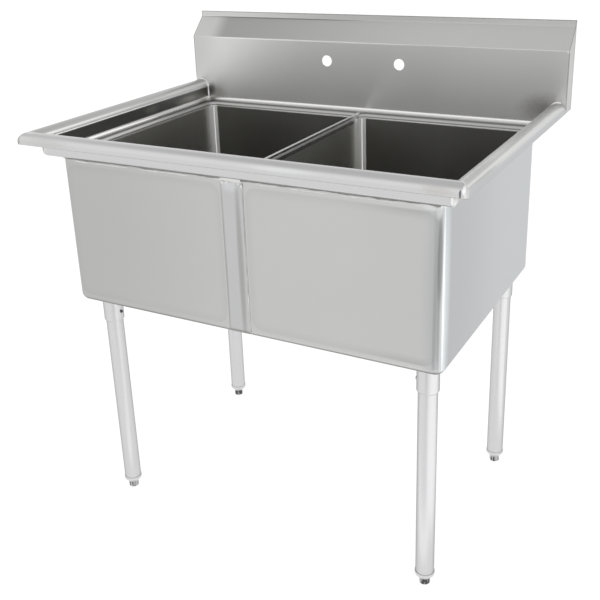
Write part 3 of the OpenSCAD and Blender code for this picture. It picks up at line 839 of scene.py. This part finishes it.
@dataclass(frozen=True)
class Bead:
    """A run of weld laid along a path, with its top facing out."""

    name: str
    path: tuple[Vector, ...]
    out: Vector
    lay: Lay
    seed: int

    def stations(self) -> list[tuple[Vector, Vector, float]]:
        """Walks the path in even steps.

        Returns:
            For each step, the point, the direction and the length so far.
        """
        found = []
        run = 0.0
        for start, end in zip(self.path, self.path[1:]):
            length = (end - start).length
            count = max(1, round(length / (self.lay.step_mm * MM)))
            for i in range(count):
                found.append((start.lerp(end, i / count), (end - start).normalized(), run))
                run += length / count
        found.append((self.path[-1], (self.path[-1] - self.path[-2]).normalized(), run))
        return found

    def swell(self, run: float) -> float:
        """Gives how thick the bead is at one place, as a share of its usual size.

        Args:
            run: the length of the bead up to that place.

        Returns:
            The share.
        """
        lay = self.lay
        hand = SLOW_SWELL.at(run, self.seed) + FAST_SWELL.at(run, self.seed)
        gone = min(1.0, max(0.0, GROUND_OFF.at(run, self.seed) + 0.5)) * lay.patchy
        return max(lay.least, (1 + lay.wander * hand) * (1 - gone))

    def build(self, finish: Finish, slot: str) -> bpy.types.Object:
        """Sweeps a rounded section along the path.

        Args:
            finish: the bead's finish.
            slot: not used.

        Returns:
            The bead.
        """
        lay, sides = self.lay, self.lay.sides
        half, height = lay.half_mm * MM, lay.rise_mm * MM
        points: list[Vector] = []
        faces: list[tuple[int, ...]] = []
        rings = [(*station, 1.0) for station in self.stations()]
        if lay.ripple:
            starts, ends = rings[:-1], [(*ring[:3], 1 - lay.ripple) for ring in rings[1:]]
            rings = [ring for pair in zip(starts, ends) for ring in pair]
        for place, direction, run, share in rings:
            side = direction.cross(self.out).normalized()
            out = side.cross(direction).normalized()
            size = self.swell(run)
            middle = place + side * (STRAY.at(run, self.seed) * half * lay.wander)
            for k in range(sides):
                turn = math.tau * k / sides
                rise = max(math.sin(turn) * height * size * share, -lay.sunk_mm * MM)
                points.append(middle + side * (math.cos(turn) * half * size) + out * rise)
        for i in range(len(rings) - 1):
            for k in range(sides):
                a, b = i * sides + k, i * sides + (k + 1) % sides
                faces.append((a, b, b + sides, a + sides))
        last = len(points) - sides
        faces.append(tuple(reversed(range(sides))))
        faces.append(tuple(last + k for k in range(sides)))
        return new_piece(self.name, points, faces, finish)


def flat_sheet(
    name: str,
    low: tuple[float, float],
    high: tuple[float, float],
    height: float,
    glow: float,
    paint: str | None = None,
) -> bpy.types.Object:
    """Lays a level sheet that glows white.

    Args:
        name: the sheet's name.
        low: its corner with the lowest x and y.
        high: its corner with the highest x and y.
        height: its height above the floor.
        glow: how brightly it glows.
        paint: the colour of the matt paint under the glow, if it has any.

    Returns:
        The sheet.
    """
    (x0, y0), (x1, y1) = low, high
    mesh = bpy.data.meshes.new(name)
    corners = [(x0, y0, height), (x1, y0, height), (x1, y1, height), (x0, y1, height)]
    mesh.from_pydata(corners, [], [(0, 1, 2, 3)])
    material, tree, output = new_material(f"{name}_face")
    light = add_node(tree, "Emission", {"Color": linear("#ffffff"), "Strength": glow}).outputs[0]
    if paint:
        matt = add_node(tree, "BsdfDiffuse", {"Color": linear(paint)}).outputs[0]
        light = add_node(tree, "AddShader", {0: matt, 1: light}).outputs[0]
    tree.links.new(light, output.inputs["Surface"])
    mesh.materials.append(material)
    return place_object(name, mesh)


@dataclass(frozen=True)
class Card:
    """A flat card on the studio floor that only shows in the steel."""

    name: str
    low: tuple[float, float]
    high: tuple[float, float]
    glow: float
    lift: float = 0.004

    def build(self) -> None:
        """Lays the card."""
        card = flat_sheet(self.name, self.low, self.high, self.lift, self.glow)
        card.visible_camera = False
        card.visible_diffuse = False
        card.visible_shadow = False
        log.info("%s: laid", self.name)


@dataclass(frozen=True)
class Studio:
    """A plain bright studio: white floor, soft lights and the camera."""

    eye: tuple[float, float, float] = (0.9675, -1.75945, 1.4184)
    heading_deg: float = -29.30
    tilt_deg: float = -20.52
    roll_deg: float = -2.095
    lens_mm: float = 53.31
    film_mm: float = 36.0
    shift: float = -0.1
    view_end: float = 200.0
    floor_half: float = 30.0
    floor_glow: float = 0.93
    floor_paint: str = "#6a6a6a"
    horizon_light: float = 1.14
    top_light: float = 0.74
    horizon_height: float = 0.45
    top_height: float = 0.87
    cards: tuple[Card, ...] = (
        Card("grey_mat", (0.25, -2.30), (1.75, -1.30), 0.5),
        Card("white_bounce", (0.62, -1.35), (2.60, 0.30), 1.42),
        Card("low_bounce", (-0.35, -0.52), (0.60, -0.36), 1.35),
    )

    def build(self) -> None:
        """Builds the floor, the world, the cards and the camera."""
        self.floor()
        self.world()
        for card in self.cards:
            card.build()
        self.camera()

    def camera(self) -> None:
        """Stands the camera in front of the sink, to its right."""
        data = bpy.data.cameras.new("camera")
        data.lens = self.lens_mm
        data.sensor_width = self.film_mm
        data.shift_y = self.shift
        data.clip_end = self.view_end
        camera = place_object("camera", data)
        turn = Matrix.Rotation(math.radians(-self.heading_deg), 4, "Z")
        lift = Matrix.Rotation(math.radians(90 + self.tilt_deg), 4, "X")
        roll = Matrix.Rotation(math.radians(self.roll_deg), 4, "Z")
        camera.matrix_world = Matrix.Translation(self.eye) @ turn @ lift @ roll
        bpy.context.scene.camera = camera

    def floor(self) -> None:
        """Lays a floor that glows evenly, takes the sink's soft shadow and runs out of sight."""
        low, high = (-self.floor_half, -self.floor_half), (self.floor_half, self.floor_half)
        floor = flat_sheet("floor", low, high, 0.0, self.floor_glow, self.floor_paint)

    def world(self) -> None:
        """Surrounds the sink with soft light, dimmer overhead than near the floor."""
        world = bpy.data.worlds.new("studio")
        bpy.context.scene.world = world
        world.use_nodes = True
        tree = world.node_tree
        tree.nodes.clear()
        around = add_node(tree, "TexCoord").outputs["Generated"]
        limits = {
            "Value": add_node(tree, "SeparateXYZ", {"Vector": around}).outputs["Z"],
            "From Min": self.horizon_height,
            "From Max": self.top_height,
            "To Min": self.horizon_light,
            "To Max": self.top_light,
        }
        fall = add_node(tree, "MapRange", limits, interpolation_type="SMOOTHSTEP").outputs["Result"]
        light = add_node(tree, "Background", {"Color": linear("#ffffff"), "Strength": fall})
        output = add_node(tree, "OutputWorld")
        tree.links.new(light.outputs["Background"], output.inputs["Surface"])


@dataclass
class Sheetwork:
    """Sizes of the bent sheet that its boxes don't give, and the planes that they do give."""

    sheet: float = 1.6 * MM
    roll_r: float = 19.05 * MM
    cove_r: float = 9.5 * MM
    edge_r: float = 14.3 * MM
    corner_r: float = 21.0 * MM
    lip_drop: float = 5.6 * MM
    splash_rise: float = 176.2 * MM
    top_edge: float = 14.3 * MM
    least_slope: float = 0.1
    most_slope: float = 0.99

    def __post_init__(self) -> None:
        """Reads the main planes from the solids' boxes."""
        rim_low, rim_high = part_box("front_rim")
        bowl_low, bowl_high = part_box("right_bowl")
        self.rim_x: float = rim_high[0]
        self.rim_y: float = rim_low[1]
        self.roll_x: float = self.rim_x - self.roll_r
        self.roll_y: float = self.rim_y + self.roll_r
        self.roll_z: float = rim_high[2] - self.roll_r
        self.lip_z: float = self.roll_z - self.lip_drop
        self.deck_z: float = bowl_high[2]
        self.under_z: float = bowl_low[2]
        self.band_x: float = self.rim_x - 2 * self.roll_r + self.sheet
        self.band_y: float = self.rim_y + 2 * self.roll_r - self.sheet
        self.bowl_y: float = bowl_low[1] + self.edge_r - self.sheet
        self.bowl_side_x: float = bowl_high[0] - self.edge_r + self.sheet
        self.bowl_rear_y: float = bowl_high[1] - self.edge_r
        self.divider_x: float = bowl_low[0] + self.sheet
        self.splash_y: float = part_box("right_rim")[1][1]

    def slopes(self, face: bpy.types.MeshPolygon) -> bool:
        """Tells whether a face looks up at a slant."""
        return self.least_slope < face.normal.z < self.most_slope

    def in_cove(self, face: bpy.types.MeshPolygon) -> bool:
        """Tells whether a face is in a cove at the deck."""
        return self.slopes(face) and face.center.z < self.deck_z + self.cove_r

    def in_return(self, face: bpy.types.MeshPolygon) -> bool:
        """Tells whether a face is on the front of the backsplash's sloped return."""
        above = face.center.z > self.deck_z + self.splash_rise
        return above and self.slopes(face) and face.normal.y < 0


class Zone(IntEnum):
    """The places of a bowl that differ in finish, in the order of its finishes."""

    OUTSIDE = 0
    INSIDE = 1
    SIDE_WALL = 2
    CORNER = 3
    EDGE = 4


@dataclass(frozen=True)
class Bowls:
    """The two bowls: satin outside, with hand-brushed corners and edges inside."""

    work: Sheetwork
    flat: float = 0.12
    upright: float = 0.3
    level: float = 0.9
    floor_rise: float = 0.5
    edge_rise: float = 0.05
    slack: float = 1 * MM

    def zone(self, centre: Vector, normal: Vector) -> Zone:
        """Picks the finish of one face of a bowl.

        Args:
            centre: the face's middle.
            normal: the face's direction.

        Returns:
            The face's zone.
        """
        w = self.work
        edge_z = w.deck_z - w.edge_r
        inside_x = w.divider_x - self.slack < abs(centre.x) < w.bowl_side_x - w.sheet + self.slack
        inside_y = w.bowl_y + w.sheet - self.slack < centre.y < w.bowl_rear_y + self.slack
        middle_x = math.copysign((w.divider_x + w.bowl_side_x) / 2, centre.x)
        middle_y = (w.bowl_y + w.bowl_rear_y) / 2
        leans_in = normal.x * (centre.x - middle_x) < 0 or normal.y * (centre.y - middle_y) < 0
        if centre.z > edge_z + self.slack and normal.z > self.edge_rise:
            return Zone.EDGE
        if normal.z > self.floor_rise and centre.z < edge_z:
            return Zone.INSIDE
        if not (inside_x and inside_y and leans_in) or abs(normal.z) > self.level:
            return Zone.OUTSIDE
        if min(abs(normal.x), abs(normal.y)) > self.flat and abs(normal.z) < self.upright:
            return Zone.CORNER
        return Zone.SIDE_WALL if abs(normal.x) > 1 - self.flat else Zone.INSIDE

    def build(self) -> None:
        """Dresses both bowls."""
        for side in Side:
            node = f"{side.word}_bowl"
            dress(node, (BOWL_OUTSIDE, BOWL_INSIDE_PAINTED_SHADE, BOWL_SIDE_WALL_PAINTED_LIGHT, BOWL_CORNER, BOWL_EDGE))
            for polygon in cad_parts[node].data.polygons:
                polygon.material_index = self.zone(polygon.center, polygon.normal)


@dataclass(frozen=True)
class Rims:
    """The rolled rims with their polished coves, the deck, the divider's cap and the seam's strip.

    The CAD boxes give their sizes.
    """

    work: Sheetwork

    def build(self) -> None:
        """Dresses the rims and the flat sheets between them and the bowls."""
        dress("front_seam_strip", [STRIP])
        dress("deck", [FRONT_RIM])
        dress("divider_cap", [CAP])
        dress("front_rim", [FRONT_RIM, COVE])
        refinish("front_rim", 1, self.work.in_cove)
        for side in Side:
            node = f"{side.word}_rim"
            dress(node, [SIDE_RIM, SIDE_COVE])
            refinish(node, 1, self.work.in_cove)


@dataclass(frozen=True)
class Backsplash:
    """The backsplash with its cove and its sloped return, and its two end caps.

    A finish's place in its list is the number that its faces get.
    """

    work: Sheetwork

    def build(self) -> None:
        """Dresses the backsplash."""
        dress("backsplash", [SPLASH, COVE, RETURN])
        refinish("backsplash", 1, self.work.in_cove)
        refinish("backsplash", 2, self.work.in_return)
        for side in Side:
            dress(f"{side.word}_end_cap", [SPLASH])


@dataclass(frozen=True)
class Legs:
    """The four legs, each from its gusset down to its levelling foot."""

    parts: tuple[tuple[str, Finish], ...] = (
        ("gusset", TUBE),
        ("socket", TUBE),
        ("leg", TUBE),
        ("insert", INSERT),
        ("foot", FOOT),
    )

    def build(self) -> None:
        """Dresses the legs and the set screws that hold them."""
        for end in End:
            for side in Side:
                for part, finish in self.parts:
                    dress(f"{end.word}_{side.word}_{part}", [finish])
        dress("socket_set_screws", [FOOT])


@dataclass(frozen=True)
class Drains:
    """The drain of each bowl, with the basket in it."""

    parts: tuple[tuple[str, Finish], ...] = (
        ("drain_body", TURNED),
        ("basket", TURNED),
        ("drain_gasket", RUBBER),
        ("drain_locknut", TURNED),
    )

    def build(self) -> None:
        """Dresses both drains."""
        for side in Side:
            for part, finish in self.parts:
                dress(f"{side.word}_{part}", [finish])


class Seed(IntEnum):
    """Where the noise of each kind of bead starts, so that no two kinds look alike."""

    ROLL_END = 3
    MITRE = 11
    BAND = 17
    FLANGE = 23
    FLANGE_RIDGE = 29
    SIDE_FLANGE = 37
    LIP_EDGE = 41
    SEAM_FILL = 43
    SEAM_LUMP = 47
    SEAM_CREASE = 53
    SEAM_RIDGE = 59
    BOWL_CORNER = 61
    ROLL_CREASE = 67
    CORNER_LUMP = 71
    SPLASH_END = 83
    SPLASH_TOP = 89


@dataclass(frozen=True)
class Welds:
    """The beads that join the sheets, most of them ground back by hand, the rounded cut edges, and
    thin beads laid as lines of painted highlight and shade.
    """

    work: Sheetwork
    # Where the beads lie on the sheets.
    corner_line_deg: float = 54.0
    roll_line_deg: float = 48.0
    buried: float = 0.2 * MM
    edge_inset: float = 1.1 * MM
    lip_inset: float = 0.15 * MM
    roll_end_ahead: float = 0.8 * MM
    mitre_sunk: float = 0.25 * MM
    band_foot: float = 1.5 * MM
    front_inner_gap: float = 24 * MM
    front_outer_gap: float = 9 * MM
    corner_line_foot: float = 24 * MM
    seam_foot: float = 1 * MM
    lump_half_run_mm: float = 3.0
    lump_rise_mm: float = 1.5
    # How each kind of bead is laid.
    roll_end_lay: Lay = Lay(2.3, 2.6, wander=0.25, step_mm=3, ripple=0.6)
    mitre_lay: Lay = Lay(1.1, 0.5)
    right_band_lay: Lay = Lay(3.0, 1.6, wander=0.35)
    left_band_lay: Lay = Lay(1.2, 0.6, wander=0.35)
    wide_lump_lay: Lay = Lay(5.2, 1.2, wander=0.45, ripple=0.3)
    small_lump_lay: Lay = Lay(2.6, 1.4, wander=0.45, ripple=0.3)
    flange_lay: Lay = Lay(1.9, 1.5, wander=0.45, patchy=0.75)
    flange_ridge_lay: Lay = Lay(1.5, 0.6, wander=0.5, patchy=0.9)
    side_flange_lay: Lay = Lay(1.6, 1.2, wander=0.45, patchy=0.6)
    crease_lay: Lay = Lay(1.8, 0.9, wander=0.1, step_mm=6)
    splash_edge_lay: Lay = Lay(0.9, 0.5, wander=0.05, step_mm=6)
    lip_edge_lay: Lay = Lay(0.75, 0.9, wander=0.05, step_mm=6)
    seam_fill_lay: Lay = Lay(7.4, 2.2, wander=0.16)
    seam_crease_lay: Lay = Lay(0.8, 0.7, patchy=0.3, step_mm=2.4)
    seam_ridge_lay: Lay = Lay(1.3, 0.9, wander=0.2, patchy=0.5, step_mm=2.4)
    corner_line_lay: Lay = Lay(2.2, 2.4, wander=0.12, step_mm=3, ripple=0.75)

    def roll_end(self, side: Side) -> Bead:
        """Lays the bead where a side roll meets the backsplash, from the cove up and over the roll.

        Args:
            side: the roll's side.

        Returns:
            The bead.
        """
        w, s = self.work, side.value
        y = w.splash_y - self.roll_end_ahead
        cove_x = w.rim_x - 2 * w.roll_r - w.cove_r
        path = []
        for cos, sin in arc(90, 0, -15):
            path.append((s * (cove_x + w.cove_r * cos), y, w.deck_z + w.cove_r * (1 - sin)))
        for cos, sin in arc(0, 110, 10):
            path.append((s * (w.roll_x - w.roll_r * cos), y, w.roll_z + w.roll_r * sin))
        name = f"{side.word}_roll_end_weld"
        return Bead(name, route(*path), Vector((0, -1, 0)), self.roll_end_lay, Seed.ROLL_END + s)

    def mitre(self, side: Side) -> Bead:
        """Lays the ground bead over the mitre of the roll at a front corner.

        Args:
            side: the corner's side.

        Returns:
            The bead.
        """
        w, s = self.work, side.value
        path = []
        for cos, sin in arc(24, 180, 12):
            out, z = w.roll_r * cos, w.roll_z + w.roll_r * sin - self.mitre_sunk
            path.append((s * (w.roll_x + out), w.roll_y - out, z))
        name = f"front_{side.word}_mitre_weld"
        return Bead(name, route(*path), Vector((s, -1, 0.4)), self.mitre_lay, Seed.MITRE + s)

    def at_corner(self, side: Side, out_mm: float, z: float) -> tuple[float, float, float]:
        """Gives a place near a front corner of the wall under the roll.

        Args:
            side: the corner's side.
            out_mm: how far the place lies outward from the corner, along both walls.
            z: the place's height.

        Returns:
            The place.
        """
        out = out_mm * MM
        return (side.value * (self.work.band_x + out), self.work.band_y - out, z)

    def band_corner(self, side: Side) -> Bead:
        """Lays the bead in a front corner of the wall under the roll, from the deck up.

        Args:
            side: the corner's side.

        Returns:
            The bead.
        """
        low = self.work.deck_z + self.band_foot
        path = route(
            self.at_corner(side, -5, low),
            self.at_corner(side, -1.5, low + 5 * MM),
            self.at_corner(side, 0, low + 11 * MM),
            self.at_corner(side, 0, self.work.lip_z),
        )
        lay = self.right_band_lay if side is Side.RIGHT else self.left_band_lay
        out = Vector((side.value, -1, 0))
        return Bead(f"front_{side.word}_band_weld", path, out, lay, Seed.BAND + side.value)

    def corner_lumps(self) -> list[Bead]:
        """Builds up the front right corner, where the welder started again.

        Returns:
            Two short beads: one on the wall under the roll and one on the roll.
        """
        w = self.work
        # Each lump's top and foot: how far out from the corner in mm, and the height.
        runs = (
            (5, w.lip_z - 1 * MM, 0.5, w.deck_z + 14 * MM, self.wide_lump_lay),
            (27, w.roll_z + 13 * MM, 30, w.roll_z + 4 * MM, self.small_lump_lay),
        )
        beads = []
        for i, (top, top_z, foot, foot_z, lay) in enumerate(runs):
            path = route(
                self.at_corner(Side.RIGHT, top, top_z), self.at_corner(Side.RIGHT, foot, foot_z)
            )
            name = f"front_right_corner_lump_{i}"
            beads.append(Bead(name, path, Vector((1, -1, 0)), lay, Seed.CORNER_LUMP + i))
        return beads

    def front_run(self, side: Side, ahead_mm: float, down_mm: float) -> tuple[Vector, ...]:
        """Gives a level path along the front of a bowl, under the deck.

        Args:
            side: the bowl's side.
            ahead_mm: how far the path lies ahead of the bowl's front.
            down_mm: how far it lies below the deck.

        Returns:
            The path, from the divider outward.
        """
        w, s = self.work, side.value
        y, z = w.bowl_y - ahead_mm * MM, w.deck_z - down_mm * MM
        inner, outer = self.front_inner_gap, w.bowl_side_x - self.front_outer_gap
        return route((s * inner, y, z), (s * outer, y, z))

    def flange(self, side: Side) -> Bead:
        """Lays the darkened bead under the deck along a bowl's front: heat tint and painted shade."""
        path, out = self.front_run(side, ahead_mm=2.4, down_mm=7.6), Vector((0, -1, -0.3))
        return Bead(f"{side.word}_flange_weld", path, out, self.flange_lay, Seed.FLANGE + side.value)

    def flange_ridge(self, side: Side) -> Bead:
        """Lays the low ridge under the darkened bead of a bowl's front.

        Args:
            side: the bowl's side.

        Returns:
            The ridge.
        """
        path, out = self.front_run(side, ahead_mm=0.1, down_mm=12.6), Vector((0, -1, -0.3))
        name, seed = f"{side.word}_flange_ridge", Seed.FLANGE_RIDGE + side.value
        return Bead(name, path, out, self.flange_ridge_lay, seed)

    def side_flange(self, side: Side) -> Bead:
        """Lays the darkened bead under the deck along a bowl's outer side: heat tint and painted shade.

        Args:
            side: the bowl's side.

        Returns:
            The bead.
        """
        w, s = self.work, side.value
        x, z = s * (w.bowl_side_x + 2.0 * MM), w.deck_z - 8.2 * MM
        path = route((x, w.bowl_y + 12 * MM, z), (x, w.bowl_rear_y - 8 * MM, z))
        name = f"{side.word}_side_flange_weld"
        return Bead(name, path, Vector((s, 0, -0.3)), self.side_flange_lay, Seed.SIDE_FLANGE + s)

    def rim_runs(self, x: float, y: float, z: float) -> dict[str, tuple[Vector, ...]]:
        """Gives the paths along the front of the rim and back along its two sides.

        Args:
            x: how far the side paths lie from the middle.
            y: where the front path lies.
            z: the paths' height.

        Returns:
            Each path by its name.
        """
        rear = self.work.splash_y
        return {
            "front": route((-x, y, z), (x, y, z)),
            "left": route((-x, y, z), (-x, rear, z)),
            "right": route((x, y, z), (x, rear, z)),
        }

    def roll_creases(self) -> list[Bead]:
        """Draws a thin bright bead as painted highlight where the roll turns into the wall inside it.

        Returns:
            The lines of the front and of the two sides.
        """
        w = self.work
        reach = w.roll_r + self.buried
        outs = {"front": (0, 1, 0.5), "left": (1, 0, 0.5), "right": (-1, 0, 0.5)}
        return [
            Bead(f"{name}_roll_crease", path, Vector(outs[name]), self.crease_lay, Seed.ROLL_CREASE)
            for name, path in self.rim_runs(w.roll_x - reach, w.roll_y + reach, w.roll_z).items()
        ]

    def roll_top(self) -> Bead:
        """Draws a thin bright bead as painted highlight along the top of the right roll.

        Returns:
            The line.
        """
        w = self.work
        turn = math.radians(self.roll_line_deg)
        over = Vector((-math.cos(turn), 0, math.sin(turn)))
        at = Vector((w.roll_x, 0, w.roll_z)) + over * (w.roll_r - self.buried)
        path = (at + Vector((0, w.roll_y, 0)), at + Vector((0, w.splash_y, 0)))
        return Bead("right_top_roll_crease", path, over, self.crease_lay, Seed.ROLL_CREASE)

    def splash_edges(self) -> list[Bead]:
        """Rounds the cut edges of the backsplash.

        Returns:
            The edges of its two ends and its top.
        """
        w, inset = self.work, self.edge_inset
        low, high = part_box("backsplash")
        rear, top = high[1] - w.sheet, high[2] - inset
        profile = (
            (w.splash_y, w.roll_z + w.roll_r + 6 * MM),
            (w.splash_y, w.deck_z + w.splash_rise),
            (rear, high[2] - w.top_edge),
            (rear, top - inset),
        )
        beads = []
        for side in Side:
            x = side.value * (w.rim_x - inset)
            path, out = route(*((x, y, z) for y, z in profile)), Vector((0, -1, 0.4))
            name = f"{side.word}_splash_edge"
            beads.append(Bead(name, path, out, self.splash_edge_lay, Seed.SPLASH_END))
        path, out = route((low[0] + inset, rear, top), (high[0] - inset, rear, top)), Vector((0, -1, 0))
        beads.append(Bead("top_splash_edge", path, out, self.splash_edge_lay, Seed.SPLASH_TOP))
        return beads

    def lip_edges(self) -> list[Bead]:
        """Rounds the cut edge under the roll's lip; its darker tone is part cut edge, part painted shade.

        Returns:
            The edges of the front and of the two sides.
        """
        w = self.work
        inset = w.sheet / 2 + self.lip_inset
        runs = self.rim_runs(w.rim_x - inset, w.rim_y + inset, w.lip_z - self.buried)
        return [
            Bead(f"{name}_lip_edge", path, Vector((0, 0, -1)), self.lip_edge_lay, Seed.LIP_EDGE)
            for name, path in runs.items()
        ]

    def seam_top(self) -> list[Bead]:
        """Closes the top of the seam between the bowls with a lumpy fill.

        Returns:
            The fill and the four lumps on it.
        """
        low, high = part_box("front_seam_strip")
        face, out = low[1], Vector((0, -1, 0))
        top = (high[2] + self.work.deck_z - self.work.sheet) / 2
        # The fill's line rises and falls: each point's place from the middle and its rise, in mm.
        waves = ((-27, -0.5), (-14, 0.6), (0, -0.4), (13, 0.5), (27, -0.6))
        path = route(*((x * MM, face + 1.2 * MM, top + rise * MM) for x, rise in waves))
        beads = [Bead("seam_top_weld", path, out, self.seam_fill_lay, Seed.SEAM_FILL)]
        half_run, y = self.lump_half_run_mm, face + 0.4 * MM
        # Each lump's place from the strip's top middle, its half width and how far it leans, in mm.
        lumps = ((-23, -2, 3.2, 1.5), (-12, 0, 2.6, 3.0), (17, -1, 3.4, -1.5), (25, -6, 2.6, -1.0))
        for i, (x, z, half, lean) in enumerate(lumps):
            path = route(
                (x * MM, y, high[2] + (z - half_run) * MM),
                ((x + lean) * MM, y, high[2] + (z + half_run) * MM),
            )
            lay = Lay(half, self.lump_rise_mm)
            beads.append(Bead(f"seam_lump_{i}", path, out, lay, Seed.SEAM_LUMP + i))
        return beads

    def seam_ridge(self) -> Bead:
        """Lays the low ridge down the right edge of the seam's strip.

        Returns:
            The ridge.
        """
        low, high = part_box("front_seam_strip")
        x, y = high[0] + 0.6 * MM, low[1] + 0.9 * MM
        path = route((x, y, low[2] + self.seam_foot), (x, y, high[2] - 2 * MM))
        return Bead("seam_right_ridge", path, Vector((0, -1, 0)), self.seam_ridge_lay, Seed.SEAM_RIDGE)

    def seam_crease(self) -> Bead:
        """Lays a dark bead down the left edge of the seam's strip, as painted shade in the gap there.

        Returns:
            The shade line.
        """
        low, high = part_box("front_seam_strip")
        x, y = low[0] - 1.2 * MM, low[1] + 1.3 * MM
        path, out = route((x, y, low[2] + self.seam_foot), (x, y, high[2])), Vector((0, -1, 0))
        return Bead("seam_left_crease", path, out, self.seam_crease_lay, Seed.SEAM_CREASE)

    def bowl_corners(self, side: Side) -> list[Bead]:
        """Lays the polished line down each inner corner of a bowl.

        Args:
            side: the bowl's side.

        Returns:
            The four lines.
        """
        w, s = self.work, side.value
        turn = math.radians(self.corner_line_deg)
        reach_x, reach_y = w.corner_r * (1 - math.cos(turn)), w.corner_r * (1 - math.sin(turn))
        low = Vector((0, 0, w.under_z + self.corner_line_foot))
        high = Vector((0, 0, w.deck_z - w.edge_r))
        walls = (("outer", w.bowl_side_x - w.sheet, -1), ("inner", w.divider_x, 1))
        beads = []
        for end in End:
            y_wall = w.bowl_rear_y if end is End.REAR else w.bowl_y + w.sheet
            for wall, x_wall, inward in walls:
                corner = Vector((s * (x_wall + inward * reach_x), y_wall - end.value * reach_y, 0))
                out = Vector((s * inward * math.cos(turn), -end.value * math.sin(turn), 0))
                place = corner - out * self.buried
                name, seed = f"{side.word}_{end.word}_{wall}_corner_weld", Seed.BOWL_CORNER + end.value
                beads.append(Bead(name, (place + low, place + high), out, self.corner_line_lay, seed))
        return beads

    def build(self) -> None:
        """Lays every bead."""
        runs: list[tuple[Sequence[Bead], Finish, str]] = [
            (self.lip_edges(), SHEARED_EDGE_AND_PAINTED_SHADE, "rim_steel"),
            (self.splash_edges(), SHEARED_EDGE_AND_PAINTED_SHADE, "splash_steel"),
            (self.roll_creases(), GROUND_LINE_AND_PAINTED_HIGHLIGHT, "rim_steel"),
            ([self.roll_top()], GROUND_WELD_AND_PAINTED_HIGHLIGHT, "rim_steel"),
        ]
        for side in Side:
            runs.append(([self.roll_end(side)], GROUND_LINE_AND_PAINTED_HIGHLIGHT, "rim_steel"))
            runs.append((self.bowl_corners(side), GROUND_LINE_AND_PAINTED_HIGHLIGHT, "bowl_steel"))
        for side in Side:
            ground = [self.flange_ridge(side), self.mitre(side), self.band_corner(side)]
            runs.append((ground, GROUND_WELD_AND_PAINTED_HIGHLIGHT, "rim_steel"))
        seam = [*self.seam_top(), self.seam_ridge()]
        runs.append(([*self.corner_lumps(), *seam], GROUND_WELD_AND_PAINTED_HIGHLIGHT, "rim_steel"))
        for side in Side:
            runs.append(([self.flange(side), self.side_flange(side)], SCORCHED_WELD_AND_PAINTED_SHADE, "rim_steel"))
        runs.append(([self.seam_crease()], SHEARED_EDGE_AND_PAINTED_SHADE, "rim_steel"))
        for beads, finish, slot in runs:
            for bead in beads:
                bead.build(finish, slot)


def main() -> None:
    """Builds the studio and the sink's sub-assemblies, in order."""
    logging.basicConfig(level=logging.INFO, format="%(message)s")
    bpy.context.scene.view_settings.view_transform = "Standard"
    work = Sheetwork()
    Studio().build()
    Bowls(work).build()
    Rims(work).build()
    Backsplash(work).build()
    Legs().build()
    Drains().build()
    Welds(work).build()


if __name__ == "__main__":
    main()
